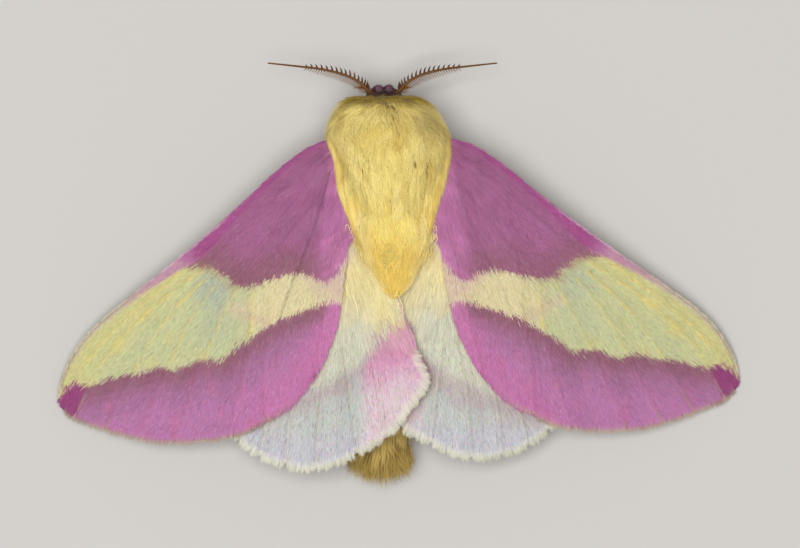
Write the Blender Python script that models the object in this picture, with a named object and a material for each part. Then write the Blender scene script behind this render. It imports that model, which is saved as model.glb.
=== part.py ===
"""A rosy maple moth at rest on its six feet, wings half spread, life-size.

Each body part is a solid of its own. The moth faces -Y with +Z up, its left side is at +X, and the floor is
z = 0. The origin is under the middle of its bounding box. Sizes are in millimetres until an object is made,
and MM turns them into metres.
"""

import math
import random

import bmesh
import bpy
from mathutils import Vector
from mathutils.geometry import delaunay_2d_cdt

MM = 0.001
GAP = 0.3  # kept between solids that meet
CLEAR = 0.25  # cut away round a neighbour, a little under the gap so that no cut grazes a core
COAT_CLEAR = 0.55  # cut away round a neighbour's coat, whose locks' crests stand a little above its face
LEFT, RIGHT = 1, -1

# The body's middle seen from above, as (y, x), and the height of each part's axis, as (y, z)
BODY_LINE = [(-9.9, 0.83), (-7.5, 0.70), (-4.4, 0.49), (-0.8, 0.29), (2.9, 0.34), (6.5, 0.70), (9.9, 1.12),
             (11.3, 1.25)]
TRUNK_HEIGHT = [(-9.4, 4.75), (-8.0, 4.5), (-6.4, 4.35), (-4.5, 4.25), (-2.9, 4.15), (-1.6, 4.1),
                (0.5, 4.0)]
BELLY_HEIGHT = [(-2.4, 3.3), (0.0, 3.1), (3.0, 2.9), (6.0, 2.6), (9.0, 2.25), (11.3, 1.95)]
HEAD_HEIGHT = [(-10.1, 3.35), (-8.0, 3.35)]

# Half widths along each part as (y, half width): the solid core, and the outer face of the coat on it
THORAX = {
    "core": [(-8.9, 0), (-8.8, 1.05), (-8.4, 1.8), (-7.6, 2.35), (-6.6, 2.6), (-5.6, 2.5), (-4.7, 2.25),
             (-3.7, 1.9), (-2.8, 1.5), (-2.3, 0)],
    "coat": [(-9.35, 0), (-9.25, 1.3), (-8.8, 2.35), (-8.0, 3.05), (-7.0, 3.4), (-5.8, 3.2), (-4.6, 2.85),
             (-3.5, 2.35), (-2.5, 1.95), (-1.5, 1.5)],
    "flat": 0.9,
    "height": TRUNK_HEIGHT,
}
ABDOMEN = {
    "core": [(-2.0, 0), (-1.9, 0.7), (-1.4, 1.1), (-0.2, 1.45), (1.4, 1.55), (3.2, 1.55), (5.0, 1.5),
             (6.8, 1.35), (8.2, 1.1), (9.0, 0.7), (9.3, 0)],
    "coat": [(-2.0, 0), (-1.95, 0.9), (-1.6, 1.4), (-0.4, 1.85), (1.4, 1.95), (3.4, 1.95), (5.4, 1.9),
             (7.4, 1.85), (9.0, 1.8), (10.2, 1.75), (11.1, 1.65)],
    "flat": 0.8,
    "height": BELLY_HEIGHT,
}
HEAD = {
    "core": [(-9.85, 0), (-9.75, 0.45), (-9.4, 0.75), (-8.95, 0.85), (-8.55, 0.75), (-8.25, 0)],
    "coat": [(-10.0, 0), (-9.95, 0.55), (-9.6, 0.95), (-9.0, 1.1), (-8.5, 1.0), (-8.0, 0.7)],
    "flat": 1.25,
    "height": HEAD_HEIGHT,
}

# The coat's locks: rows along the part as shares of its length, and the size of a lock
THORAX_ROWS = [0.0, 0.11, 0.22, 0.33, 0.44, 0.55, 0.66, 0.77, 0.89]
ABDOMEN_ROWS = [0.1, 0.24, 0.38, 0.52, 0.66, 0.78, 0.88]
HEAD_ROWS = [0.05, 0.36]
THORAX_LOCK = {"length": 2.8, "width": 1.85, "thick": 0.55, "pitch": 1.95}
ABDOMEN_LOCK = {"length": 2.8, "width": 1.5, "thick": 0.5, "pitch": 1.65}
HEAD_LOCK = {"length": 1.0, "width": 0.9, "thick": 0.5, "pitch": 1.05}
ROOT_LIFT, TIP_LIFT = -0.6, 0.8  # where a lock starts and ends: 0 is the core's face and 1 the coat's
LOCK_STATIONS = [0.0, 0.4, 0.78]
LOCK_WIDTHS = [0.8, 1.0, 0.72]
LOCK_THICKNESSES = [0.9, 1.0, 0.75]
SHOULDER_TURN = 0.5  # how far the locks above a wing root turn to lie over it
INNER_MARGIN = 2.2  # how far from the body's middle the forewings' inner edges start

# The wings' roof: its height over the body, how it falls off fore and aft, and its slope to the sides
RIDGE_HEIGHT, RIDGE_FALL = 5.2, 0.012
ROOF_SLOPE, RIDGE_ROUND = 0.33, 3.0
WING_THICKNESS = 0.5
LAYER = WING_THICKNESS + GAP + 0.1  # from the middle of one wing to that of the wing under it
FOLD_FULL, FOLD_END, FOLD_SPREAD = 1.15, 2.45, 0.35  # x between which the left hindwing comes down
FOLD_START_Y, FOLD_FULL_Y, FOLD_END_Y = -1.8, 0.3, 9.5

# A forewing, as (along, across): along runs from the shoulder to the tip, across points to the tail
FOREWING_EDGE = [(0.0, 0.0), (2.4, -0.52), (5.0, -0.63), (8.0, -0.75), (10.5, -0.92), (13.2, -1.2),
                 (15.5, -1.22), (17.2, -0.95), (18.6, -0.45), (19.5, 0.1), (19.85, 0.8), (19.5, 1.7),
                 (18.65, 3.2), (17.4, 4.9), (15.5, 6.85), (13.6, 8.15), (12.2, 8.65), (10.6, 8.75),
                 (8.75, 8.45), (7.4, 7.97), (6.0, 7.25), (4.6, 6.15), (3.5, 5.25), (2.7, 4.5)]
FOREWING_VEINS = {
    "radius": [(0.6, 0.55), (4.0, 0.45), (8.9, 0.4), (13.0, 0.0), (16.5, 0.2), (19.1, 1.15)],
    "subcosta": [(8.0, -0.1), (11.0, -0.35), (14.7, -0.55), (17.2, -0.35)],
    "media_1": [(9.6, 0.85), (12.4, 0.95), (14.5, 1.35), (17.0, 2.2), (18.4, 2.75)],
    "media_2": [(9.5, 1.5), (11.5, 1.85), (14.0, 2.75), (16.2, 3.7), (17.3, 4.15)],
    "media_3": [(8.7, 2.35), (10.2, 2.9), (12.3, 3.75), (14.9, 5.0), (16.2, 5.7)],
    "cubitus": [(0.5, 1.6), (3.0, 1.95), (6.2, 2.5), (8.7, 2.35)],
    "cubital_1": [(7.7, 2.5), (9.6, 4.4), (12.2, 6.3), (14.0, 7.3)],
    "cubital_2": [(6.2, 2.5), (8.5, 4.7), (10.7, 6.6), (12.2, 8.2)],
    "anal": [(0.9, 2.5), (3.2, 4.2), (6.0, 6.3), (8.3, 7.9)],
}
FOREWING_PLACE = {LEFT: ((3.87, -7.02), 44.0), RIGHT: ((-2.89, -7.07), 40.0)}  # the shoulder, and the sweep
FOREWING_ROOT = (-6.95, -4.4)  # y of the root's two ends on the thorax

# A hindwing, as (outward, backward) from its hinge
HINDWING_EDGE = [(0.35, 0.6), (1.85, 2.5), (4.16, 6.1), (6.05, 9.0), (6.7, 10.25), (6.15, 11.05),
                 (5.4, 11.7), (4.55, 12.2), (3.5, 12.55), (2.35, 12.74), (1.3, 12.62), (0.35, 12.3),
                 (-0.5, 11.85), (-1.3, 11.45), (-2.0, 10.95), (-2.6, 10.3), (-3.25, 9.45), (-3.85, 8.65),
                 (-4.15, 8.0), (-4.0, 7.3), (-3.4, 6.1), (-2.8, 4.95), (-2.1, 3.55), (-1.3, 1.95),
                 (-0.85, 0.8)]
HINDWING_VEINS = {
    "costa": [(0.9, 1.9), (2.7, 5.0), (4.9, 9.0), (5.7, 10.5)],
    "radius": [(0.5, 2.2), (2.0, 5.6), (3.9, 9.0), (4.7, 11.3)],
    "media_1": [(1.6, 4.8), (2.5, 8.0), (3.1, 9.8), (3.3, 11.8)],
    "media_2": [(0.2, 2.6), (0.9, 6.0), (1.5, 9.0), (1.7, 12.1)],
    "cubital_1": [(0.5, 4.2), (0.2, 7.0), (-0.1, 9.4), (-0.3, 11.5)],
    "cubital_2": [(-0.2, 2.8), (-0.9, 5.2), (-1.4, 8.0), (-1.75, 10.2)],
}
HINDWING_PLACE = {LEFT: (2.57, -2.44), RIGHT: (-1.95, -2.96)}
HINDWING_ROOT = (-3.8, -2.75)
TUCK = -2.95  # the right hindwing's inner fold is turned under at this distance, below the left one

VEIN_HEIGHT, VEIN_HALF_WIDTH, VEIN_SPACING = 0.16, 0.26, 1.4
EDGE_SPACING, FIELD_SPACING, FOLD_SPACING = 0.8, 2.0, 1.3

# An antenna, as (outward from the body's middle, y, z), with its comb on the inner part
ANTENNA_PATH = [(0.86, -9.62, 4.12), (1.12, -9.92, 4.2), (1.76, -10.3, 4.2), (2.52, -10.56, 4.1),
                (3.4, -10.74, 3.9), (4.3, -10.85, 3.65), (5.12, -10.95, 3.35), (5.97, -11.05, 3.0)]
ANTENNA_RADIUS, ANTENNA_TIP_RADIUS = 0.26, 0.1
COMB_FIRST, COMB_LAST, COMB_TEETH = 0.09, 0.6, 6
TOOTH_REACH, TOOTH_RADIUS = 0.62, 0.19

EYE_RADIUS, EYE_PLACE = 0.62, (0.88, -9.0, 3.3)  # the place is outward from the body's middle
PALP_PATH = [(0.3, -9.45, 2.75), (0.34, -9.85, 2.6), (0.34, -10.0, 2.95)]

# Legs, as (outward from the body's middle, y, z): the hip on the thorax, then knee, ankle and toe
LEGS = {
    "front": {"hip": (0.8, -7.3), "path": [(1.9, -7.3, 1.75), (2.25, -7.4, 0.62), (2.1, -8.2, 0.24)]},
    "middle": {"hip": (0.95, -5.45), "path": [(2.9, -5.9, 2.15), (3.9, -5.5, 0.62), (5.1, -4.9, 0.24)]},
    "hind": {"hip": (0.85, -4.15), "path": [(2.3, -2.2, 2.2), (3.2, 0.6, 0.62), (3.9, 3.2, 0.24)]},
}
HIP_RADIUS, KNEE_RADIUS, ANKLE_RADIUS, TOE_RADIUS = 0.45, 0.4, 0.3, 0.26

COLOURS = {
    "forewing_scales": ((0.45, 0.12, 0.33), 0.7),
    "hindwing_scales": ((0.62, 0.58, 0.52), 0.75),
    "yellow_coat": ((0.80, 0.58, 0.17), 0.85),
    "rosy_coat": ((0.32, 0.10, 0.16), 0.85),
    "antenna_amber": ((0.30, 0.13, 0.05), 0.55),
    "eye_dark": ((0.02, 0.012, 0.01), 0.2),
}


def hermite(table, at):
    """The smooth curve through (position, value) pairs at a position, straight on beyond its ends."""
    last = len(table) - 1

    def slope(i):
        low, high = max(i - 1, 0), min(i + 1, last)
        return (table[high][1] - table[low][1]) / (table[high][0] - table[low][0])

    if at <= table[0][0] or at >= table[last][0]:
        end = 0 if at <= table[0][0] else last
        return table[end][1] + slope(end) * (at - table[end][0])
    k = next(i for i in range(last) if at < table[i + 1][0])
    (x0, v0), (x1, v1) = table[k], table[k + 1]
    h, t = x1 - x0, (at - x0) / (x1 - x0)
    return (v0 * (1 + 2 * t) * (1 - t) ** 2 + slope(k) * h * t * (1 - t) ** 2
            + v1 * t * t * (3 - 2 * t) - slope(k + 1) * h * t * t * (1 - t))


def spline(points, t):
    """The point at share t of the smooth curve through points, going straight on past its end."""
    points = [Vector(p) for p in points]
    last = len(points) - 1
    place = max(t, 0) * last
    if place >= last:
        return points[last] + (points[last] - points[last - 1]) * (place - last)
    k = int(place)
    f = place - k
    a, b = points[k], points[k + 1]
    before = points[k - 1] if k > 0 else a * 2 - b
    after = points[k + 2] if k + 2 <= last else b * 2 - a
    straight, bend, twist = b - before, before * 2 - a * 5 + b * 4 - after, a * 3 - before - b * 3 + after
    return a + straight * (f / 2) + bend * (f * f / 2) + twist * (f ** 3 / 2)


def evenly(points, spacing):
    """Points of the smooth curve through points, about spacing apart, both ends kept."""
    steps = 400
    fine = [spline(points, i / steps) for i in range(steps + 1)]
    lengths = [0.0]
    for a, b in zip(fine, fine[1:]):
        lengths.append(lengths[-1] + (b - a).length)
    count = max(2, round(lengths[-1] / spacing) + 1)
    kept, j = [], 0
    for i in range(count):
        while j < steps and lengths[j] < lengths[-1] * i / (count - 1):
            j += 1
        kept.append(fine[j])
    return kept


def smoothstep(x):
    x = min(max(x, 0.0), 1.0)
    return x * x * (3 - 2 * x)


def middle(y):
    return hermite(BODY_LINE, y)


def body_point(part, s, around, lift):
    """A point of a body part. The share s runs from its front to its rear, and the angle around from its
    left side over its back. The lift is 0 on the core and 1 on the coat's outer face."""
    y, half_width = spline(part["core"], s).lerp(spline(part["coat"], s), lift)
    half_width = max(half_width, 0.0)
    return Vector((middle(y) + half_width * math.cos(around), y,
                   hermite(part["height"], y) + part["flat"] * half_width * math.sin(around)))


def thorax_side(y, z):
    """The thorax core's half width at a height."""
    half = hermite(THORAX["core"][1:-1], y)
    up = (z - hermite(THORAX["height"], y)) / (THORAX["flat"] * half)
    return half * math.sqrt(max(0.0, 1 - up * up))


def thorax_underside(y, outward):
    half = hermite(THORAX["core"][1:-1], y)
    return hermite(THORAX["height"], y) - THORAX["flat"] * half * math.sqrt(1 - (outward / half) ** 2)


def roof(x, y):
    """The height of the right hindwing's middle surface, which the other wings lie over."""
    out = x - middle(y)
    return RIDGE_HEIGHT - RIDGE_FALL * y * y - ROOF_SLOPE * (math.hypot(out, RIDGE_ROUND) - RIDGE_ROUND)


def fold_x(share, y):
    """The x at a share of the way down the left hindwing's fold, which widens to the rear."""
    return FOLD_FULL + share * (FOLD_END + FOLD_SPREAD * max(y - 1, 0) - FOLD_FULL)


def hindwing_height(side):
    """The height of a hindwing's middle surface: the left one rises to lie over the right one."""
    def height(x, y):
        if side == RIGHT:
            return roof(x, y)
        over = smoothstep((fold_x(1, y) - x) / (fold_x(1, y) - FOLD_FULL))
        return roof(x, y) + LAYER * over * smoothstep((y - FOLD_START_Y) / (FOLD_FULL_Y - FOLD_START_Y))
    return height


def forewing_height(x, y):
    return roof(x, y) + LAYER


def make_object(name, points, faces):
    """A mesh object from points in millimetres, in triangles that face outwards."""
    mesh = bpy.data.meshes.new(name)
    mesh.from_pydata([Vector(p) * MM for p in points], [], faces)
    bm = bmesh.new()
    bm.from_mesh(mesh)
    bmesh.ops.recalc_face_normals(bm, faces=bm.faces)
    bmesh.ops.triangulate(bm, faces=bm.faces)
    bm.to_mesh(mesh)
    bm.free()
    obj = bpy.data.objects.new(name, mesh)
    bpy.context.scene.collection.objects.link(obj)
    return obj


def finish(obj, colour):
    """Gives a finished solid its material and smooth shading."""
    (red, green, blue), roughness = COLOURS[colour]
    material = bpy.data.materials.new(obj.name + "_" + colour)
    material.use_nodes = True
    shader = material.node_tree.nodes["Principled BSDF"]
    shader.inputs["Base Color"].default_value = (red, green, blue, 1)
    shader.inputs["Roughness"].default_value = roughness
    shader.inputs["Metallic"].default_value = 0
    obj.data.materials.clear()
    obj.data.materials.append(material)
    obj.data.shade_smooth()
    obj.data.set_sharp_from_angle(angle=math.radians(50))


def combine(obj, others, operation):
    """Joins the other objects to obj, or cuts them from it, applies that, and removes them."""
    group = bpy.data.collections.new(obj.name + "_" + operation.lower())
    bpy.context.scene.collection.children.link(group)
    for other in others:
        bpy.context.scene.collection.objects.unlink(other)
        group.objects.link(other)
    boolean = obj.modifiers.new(operation, "BOOLEAN")
    boolean.operation = operation
    boolean.solver = "EXACT"
    boolean.operand_type = "COLLECTION"
    boolean.collection = group
    bpy.context.view_layer.update()
    result = bpy.data.meshes.new_from_object(obj.evaluated_get(bpy.context.evaluated_depsgraph_get()))
    obj.modifiers.clear()
    obj.data = result
    for other in others:
        bpy.data.objects.remove(other)
    bpy.data.collections.remove(group)
    return obj


def keep_largest(obj):
    """Keeps the largest closed surface, so that no sealed hollow and no loose scrap is left."""
    bm = bmesh.new()
    bm.from_mesh(obj.data)
    bmesh.ops.triangulate(bm, faces=bm.faces)
    left, islands = set(bm.faces), []
    while left:
        island, front = set(), [left.pop()]
        while front:
            face = front.pop()
            island.add(face)
            for edge in face.edges:
                for near in edge.link_faces:
                    if near in left:
                        left.remove(near)
                        front.append(near)
        islands.append(island)

    def volume(island):
        corners = [[v.co for v in face.verts] for face in island]
        return sum(a.dot(b.cross(c)) for a, b, c in corners)

    largest = max(islands, key=volume)
    dropped = [face for island in islands if island is not largest for face in island]
    bmesh.ops.delete(bm, geom=dropped, context="FACES")
    bm.to_mesh(obj.data)
    bm.free()
    return obj


def rings_to_solid(name, rings, first_tip=None, last_tip=None):
    """A closed tube through rings of points, each end closed by a tip point or by a flat cap."""
    count = len(rings[0])
    points = [p for ring in rings for p in ring]
    faces = []
    for r in range(len(rings) - 1):
        for i in range(count):
            a, b = r * count + i, r * count + (i + 1) % count
            faces.append((a, b, b + count, a + count))
    last = (len(rings) - 1) * count
    for start, tip in ((0, first_tip), (last, last_tip)):
        if tip is None:
            faces.append(tuple(range(start, start + count)))
        else:
            points.append(tip)
            faces += [(start + i, start + (i + 1) % count, len(points) - 1) for i in range(count)]
    return make_object(name, points, faces)


def core_solid(name, part, rings, sides, grow=0.0, profile="core"):
    """A part's smooth core, or its coat's outer face, closed at both ends."""
    lift = 0.0 if profile == "core" else 1.0
    loops = []
    for r in range(1, rings):
        turns = [2 * math.pi * i / sides for i in range(sides)]
        loops.append([body_point(part, r / rings, a, lift) + Vector((math.cos(a), 0, math.sin(a))) * grow
                      for a in turns])
    ends = []
    for s, direction in ((0, -1), (1, 1)):
        y = spline(part[profile], s).x + direction * grow
        ends.append(Vector((middle(y), y, hermite(part["height"], y))))
    return rings_to_solid(name, loops, *ends)


def ball(name, centre, radius, rings, sides):
    loops = []
    for r in range(1, rings):
        a = math.pi * r / rings
        flat, rise = radius * math.sin(a), radius * math.cos(a)
        turns = [2 * math.pi * i / sides for i in range(sides)]
        loops.append([centre + Vector((flat * math.cos(b), flat * math.sin(b), rise)) for b in turns])
    up = Vector((0, 0, radius))
    return rings_to_solid(name, loops, centre + up, centre - up)


def wing_faces(p):
    """The heights of the lowest and highest wing faces beside the thorax, the gap included."""
    half = WING_THICKNESS / 2 + GAP
    behind = p.y > FOREWING_ROOT[1] + 0.2 and abs(p.x - middle(p.y)) < INNER_MARGIN
    top = hindwing_height(LEFT if p.x > middle(p.y) else RIGHT) if behind else forewing_height
    bottom = forewing_height if p.y < HINDWING_ROOT[0] - 0.4 else roof
    return bottom(p.x, p.y) - half, top(p.x, p.y) + half


def clear_of_wings(p, upper, thick):
    """Bends a point of a lock's underside up over the wing that it would cross, or down under it."""
    if p.y < FOREWING_ROOT[0] - 0.3 or abs(p.x - middle(p.y)) < 1.2:
        return p
    bottom, top = wing_faces(p)
    return Vector((p.x, p.y, max(p.z, top) if upper else min(p.z, bottom - thick)))


def profile_length(profile):
    return sum((Vector(b) - Vector(a)).length for a, b in zip(profile, profile[1:]))


def lock_solid(part, s, around, size, turn, wings):
    """One flat, tapered lock with a low crest, rooted inside the core and bending along the coat's lie."""
    share = size["length"] / profile_length(part["coat"])
    root = body_point(part, s, around, 0)
    upper = root.z > sum(wing_faces(root)) / 2
    spine, sideways = [], []
    for t in LOCK_STATIONS + [1.0]:
        at, angle = s + share * t, around + turn * t
        lift = ROOT_LIFT + (TIP_LIFT - ROOT_LIFT) * t ** 0.55
        p, q = body_point(part, at, angle, lift), body_point(part, at, angle + 0.05, lift)
        spine.append(clear_of_wings(p, upper, size["thick"]) if wings and t else p)
        sideways.append((q - p).normalized())
    last = len(LOCK_STATIONS) - 1
    y = spine[last].y
    outward = spine[last] - Vector((middle(y), y, hermite(part["height"], y)))
    rings = []
    for k in range(last, -1, -1):
        along = (spine[k + 1] - spine[max(k - 1, 0)]).normalized()
        side = (sideways[k] - along * sideways[k].dot(along)).normalized()
        crest = side.cross(along) * (size["thick"] * LOCK_THICKNESSES[k])
        if crest.dot(outward) < 0:
            crest = -crest
        outward = crest
        side = side * (size["width"] / 2 * LOCK_WIDTHS[k])
        rings.append([spine[k] + side, spine[k] + crest, spine[k] - side])
    tip = spine[-1] + (rings[0][1] - spine[-2]) * 0.4
    return rings_to_solid("lock", rings, tip)


def coat_locks(part, rows, size, seed, wings=False):
    """Rows of locks round a part, each row half a lock on from the last, varied as real tufts are."""
    draw = random.Random(seed)
    locks = []
    for row, s in enumerate(rows):
        ring = body_point(part, s + 0.6 * size["length"] / profile_length(part["coat"]), 0, 0.7)
        girth = math.pi * (ring.x - middle(ring.y)) * (1 + part["flat"])
        count = max(4, round(girth / size["pitch"]))
        for i in range(count):
            around = 2 * math.pi * (i + 0.5 * (row % 2) + 0.25) / count + draw.uniform(-0.06, 0.06)
            root = body_point(part, s, around, 0)
            early = 0.62 + 0.38 * smoothstep(s / 0.3)
            varied = dict(size, length=size["length"] * draw.uniform(0.88, 1.12) * early,
                          width=size["width"] * draw.uniform(0.9, 1.1))
            turn = draw.uniform(-0.12, 0.12)
            if wings and FOREWING_ROOT[0] - 1.2 < root.y < HINDWING_ROOT[1] + 0.3:
                bottom, top = wing_faces(root)
                if bottom + 0.1 < root.z < top - 0.1 and abs(root.x - middle(root.y)) > 0.9:
                    continue
                if top - 0.1 <= root.z < top + 1.1:
                    turn += -SHOULDER_TURN if math.cos(around) > 0 else SHOULDER_TURN
            locks.append(lock_solid(part, s, around, varied, turn, wings))
    return locks


def inside(edge, p, margin):
    """Whether p lies inside the outline, and at least margin from each of its points."""
    hit = False
    for a, b in zip(edge, edge[1:] + edge[:1]):
        if (a[1] > p.y) != (b[1] > p.y) and p.x < (b[0] - a[0]) * (p.y - a[1]) / (b[1] - a[1]) + a[0]:
            hit = not hit
    return hit and all((Vector((q[0], q[1])) - p).length > margin for q in edge)


def sheet_points(edge, veins, folds):
    """The points that a wing is built on: its outline, the veins' crests and feet, and a spread between
    them. Also the lines that the triangles keep to, and the numbers of the crests."""
    points, lines, crests = [Vector(p) for p in edge], [], set()

    def nearest(p, among):
        return min(among, key=lambda i: (points[i] - p).length)

    def add(p, apart):
        near = nearest(p, range(len(points)))
        if (points[near] - p).length < apart:
            return near
        points.append(p)
        return len(points) - 1

    def link(numbers):
        for a, b in zip(numbers, numbers[1:]):
            if a != b and a is not None and b is not None:
                lines.append((a, b))

    paths = [evenly(vein, VEIN_SPACING) for vein in veins]
    for path in paths:
        numbers = [add(p, 0.3) for p in path if inside(edge, p, 0.3)]
        link(numbers)
        crests.update(numbers[1:])
    for path in paths:
        for direction in (1, -1):
            feet = []
            for k, p in enumerate(path):
                along = path[min(k + 1, len(path) - 1)] - path[max(k - 1, 0)]
                foot = p + along.normalized().orthogonal() * (VEIN_HALF_WIDTH * direction)
                apart = (points[nearest(foot, crests)] - foot).length
                free = apart > VEIN_HALF_WIDTH * 0.9 and inside(edge, foot, 0.3)
                feet.append(add(foot, 0.2) if free else None)
            link(feet)
    for p in (p for fold in folds for p in evenly(fold, FOLD_SPACING)):
        if inside(edge, p, 0.45):
            add(p, 0.45)
    low = Vector((min(p[0] for p in edge), min(p[1] for p in edge)))
    high = Vector((max(p[0] for p in edge), max(p[1] for p in edge)))
    for i in range(int((high.x - low.x) / FIELD_SPACING) + 1):
        for j in range(int((high.y - low.y) / FIELD_SPACING) + 1):
            p = low + Vector((i + 0.5 * (j % 2), j)) * FIELD_SPACING
            if inside(edge, p, FIELD_SPACING * 0.45):
                add(p, FIELD_SPACING * 0.45)
    return points, lines, crests


def sheet_solid(name, edge, veins, folds, height, thickness):
    """A curved sheet with raised veins: the area inside edge in the same triangles above and below."""
    points, lines, crests = sheet_points(edge, veins, folds)
    outline = list(range(len(edge)))
    ring = list(zip(outline, outline[1:] + outline[:1]))
    flat, _, triangles, sources, _, _ = delaunay_2d_cdt(points, ring + lines, [outline], 1, 1e-4)
    count = len(flat)
    solid = []
    for side in (1, -1):
        for p, source in zip(flat, sources):
            ridge = VEIN_HEIGHT if side == 1 and crests & set(source) else 0.0
            solid.append(Vector((p.x, p.y, height(p.x, p.y) + side * thickness / 2 + ridge)))
    faces = [tuple(t) for t in triangles] + [tuple(i + count for i in reversed(t)) for t in triangles]
    directed = {(t[k], t[(k + 1) % 3]) for t in triangles for k in range(3)}
    for a, b in sorted(directed):
        if (b, a) not in directed:
            faces += [(b, a, a + count), (b, a + count, b + count)]
    return make_object(name, solid, faces)


def root_edge(side, ends, height):
    """The wing's root, front to rear, which keeps the gap from the side of the thorax."""
    edge = []
    for k in range(5):
        y = ends[0] + (ends[1] - ends[0]) * k / 4
        out = thorax_side(y, height(middle(y) + side * 2, y)) + GAP + 0.04
        edge.append((middle(y) + side * out, y))
    return edge


def forewing_plan(side, along, across):
    (x, y), sweep = FOREWING_PLACE[side]
    c, s = math.cos(math.radians(sweep)), math.sin(math.radians(sweep))
    return (x + side * (along * c - across * s), y + along * s + across * c)


def hindwing_plan(side, outward, backward):
    x, y = HINDWING_PLACE[side]
    if side == RIGHT:
        outward = max(outward, TUCK)
    return (x + side * outward, y + backward)


def wing_edge(side, plan, edge, root, height):
    """A wing's whole outline: its free edge as an even run of points, then its root from rear to front."""
    free = [tuple(p) for p in evenly([plan(side, *p) for p in edge], EDGE_SPACING)]
    return free + list(reversed(root_edge(side, root, height)))


def grown(edge, by):
    """The outline pushed outwards."""
    turn = sum(a[0] * b[1] - b[0] * a[1] for a, b in zip(edge, edge[1:] + edge[:1]))
    wider = []
    for before, p, after in zip(edge[-1:] + edge[:-1], edge, edge[1:] + edge[:1]):
        along = (Vector(after) - Vector(before)).normalized()
        out = Vector((along.y, -along.x)) * (by if turn > 0 else -by)
        wider.append((p[0] + out.x, p[1] + out.y))
    return wider


def forewing(side, name, clearance=0.0):
    edge = wing_edge(side, forewing_plan, FOREWING_EDGE, FOREWING_ROOT, forewing_height)
    if clearance:
        thickness = WING_THICKNESS + 2 * clearance
        return sheet_solid(name, grown(edge, clearance), [], [], forewing_height, thickness)
    veins = [[forewing_plan(side, *p) for p in vein] for vein in FOREWING_VEINS.values()]
    return sheet_solid(name, edge, veins, [], forewing_height, WING_THICKNESS)


def hindwing(side, name, clearance=0.0):
    height = hindwing_height(side)
    edge = wing_edge(side, hindwing_plan, HINDWING_EDGE, HINDWING_ROOT, height)
    stops = (FOLD_START_Y, 1.0, FOLD_END_Y)
    folds = [[(fold_x(share, y), y) for y in stops] for share in (0, 0.5, 1)] if side == LEFT else []
    if clearance:
        thickness = WING_THICKNESS + 2 * clearance
        return sheet_solid(name, grown(edge, clearance), [], folds, height, thickness)
    veins = [[hindwing_plan(side, *p) for p in vein] for vein in HINDWING_VEINS.values()]
    return sheet_solid(name, edge, veins, folds, height, WING_THICKNESS)


def tube(name, path, radii, sides, last_tip=None, floor=None):
    """A round, tapering tube along a path, flattened where it rests on the floor."""
    rings = []
    for k, p in enumerate(path):
        along = (path[min(k + 1, len(path) - 1)] - path[max(k - 1, 0)]).normalized()
        side = along.cross(Vector((0, 0, 1))).normalized()
        up = side.cross(along)
        ring = []
        for i in range(sides):
            a = 2 * math.pi * (i + 0.5) / sides
            q = p + (side * math.cos(a) + up * math.sin(a)) * radii[k]
            if floor is not None:
                q.z = max(q.z, floor)
            ring.append(q)
        rings.append(ring)
    return rings_to_solid(name, rings, None, last_tip)


def sided(side, out, y, z):
    """A point given by its distance out from the body's middle line."""
    return Vector((middle(y) + side * out, y, z))


def antenna(side, name, grow=0.0):
    """A tapering shaft with a comb of short teeth fore and aft along its inner part."""
    knots = [sided(side, *p) for p in ANTENNA_PATH]
    count = 11
    path = [spline(knots, k / count) for k in range(count + 1)]
    taper = [(k / count) ** 1.5 for k in range(count + 1)]
    radii = [ANTENNA_RADIUS + (ANTENNA_TIP_RADIUS - ANTENNA_RADIUS) * t + grow for t in taper]
    shaft = tube(name, path, radii, 7)
    if grow:
        return shaft
    teeth = []
    for k in range(COMB_TEETH):
        t = COMB_FIRST + (COMB_LAST - COMB_FIRST) * k / (COMB_TEETH - 1)
        root = spline(knots, t)
        along = (spline(knots, t + 0.02) - root).normalized()
        fore = Vector((along.y, -along.x, 0)).normalized()
        fore = fore if fore.y < 0 else -fore
        reach = TOOTH_REACH * (1 - 0.3 * abs(2 * k / (COMB_TEETH - 1) - 0.8))
        for direction in (fore, -fore):
            bend = root + (direction * 0.6 + along * 0.12) * reach
            tip = root + (direction + along * 0.45 - Vector((0, 0, 0.25))) * reach
            teeth.append(tube("tooth", [root, bend], [TOOTH_RADIUS, TOOTH_RADIUS * 0.75], 4, tip))
    return combine(shaft, teeth, "UNION")


def leg_path(side, leg_sizes):
    out, y = leg_sizes["hip"]
    top = sided(side, out, y, thorax_underside(y, out) - GAP - 0.2)
    return [top] + [sided(side, *p) for p in leg_sizes["path"]]


def leg(side, name, leg_sizes, grow=0.0):
    """Hip to toe in one bent piece, the foot flat on the floor."""
    top, knee, ankle, toe = leg_path(side, leg_sizes)
    path = [top, top.lerp(knee, 0.3), top.lerp(knee, 0.6), knee, knee.lerp(ankle, 0.36),
            knee.lerp(ankle, 0.85), ankle.lerp(toe, 0.15), ankle.lerp(toe, 0.55), toe]
    path[6].z = path[7].z = toe.z
    radii = [HIP_RADIUS, HIP_RADIUS, KNEE_RADIUS, KNEE_RADIUS * 0.95, KNEE_RADIUS * 0.9, ANKLE_RADIUS,
             ANKLE_RADIUS, TOE_RADIUS, TOE_RADIUS * 0.9]
    if grow:
        return tube(name, path[:5], [r + grow for r in radii[:5]], 8)
    return tube(name, path, radii, 8, floor=0.0)


def eye(side, name):
    """An eye's dome, cut back to the gap from the side of the head."""
    dome = ball(name, sided(side, *EYE_PLACE), EYE_RADIUS, 8, 12)
    return combine(dome, [core_solid("cutter", HEAD, 12, 16, grow=GAP)], "DIFFERENCE")


def eye_clearance(side):
    """The room round an eye, kept free of the head's tufts."""
    return ball("cutter", sided(side, *EYE_PLACE) + Vector((side * 0.34, 0, 0)), EYE_RADIUS * 1.12, 6, 10)


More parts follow.
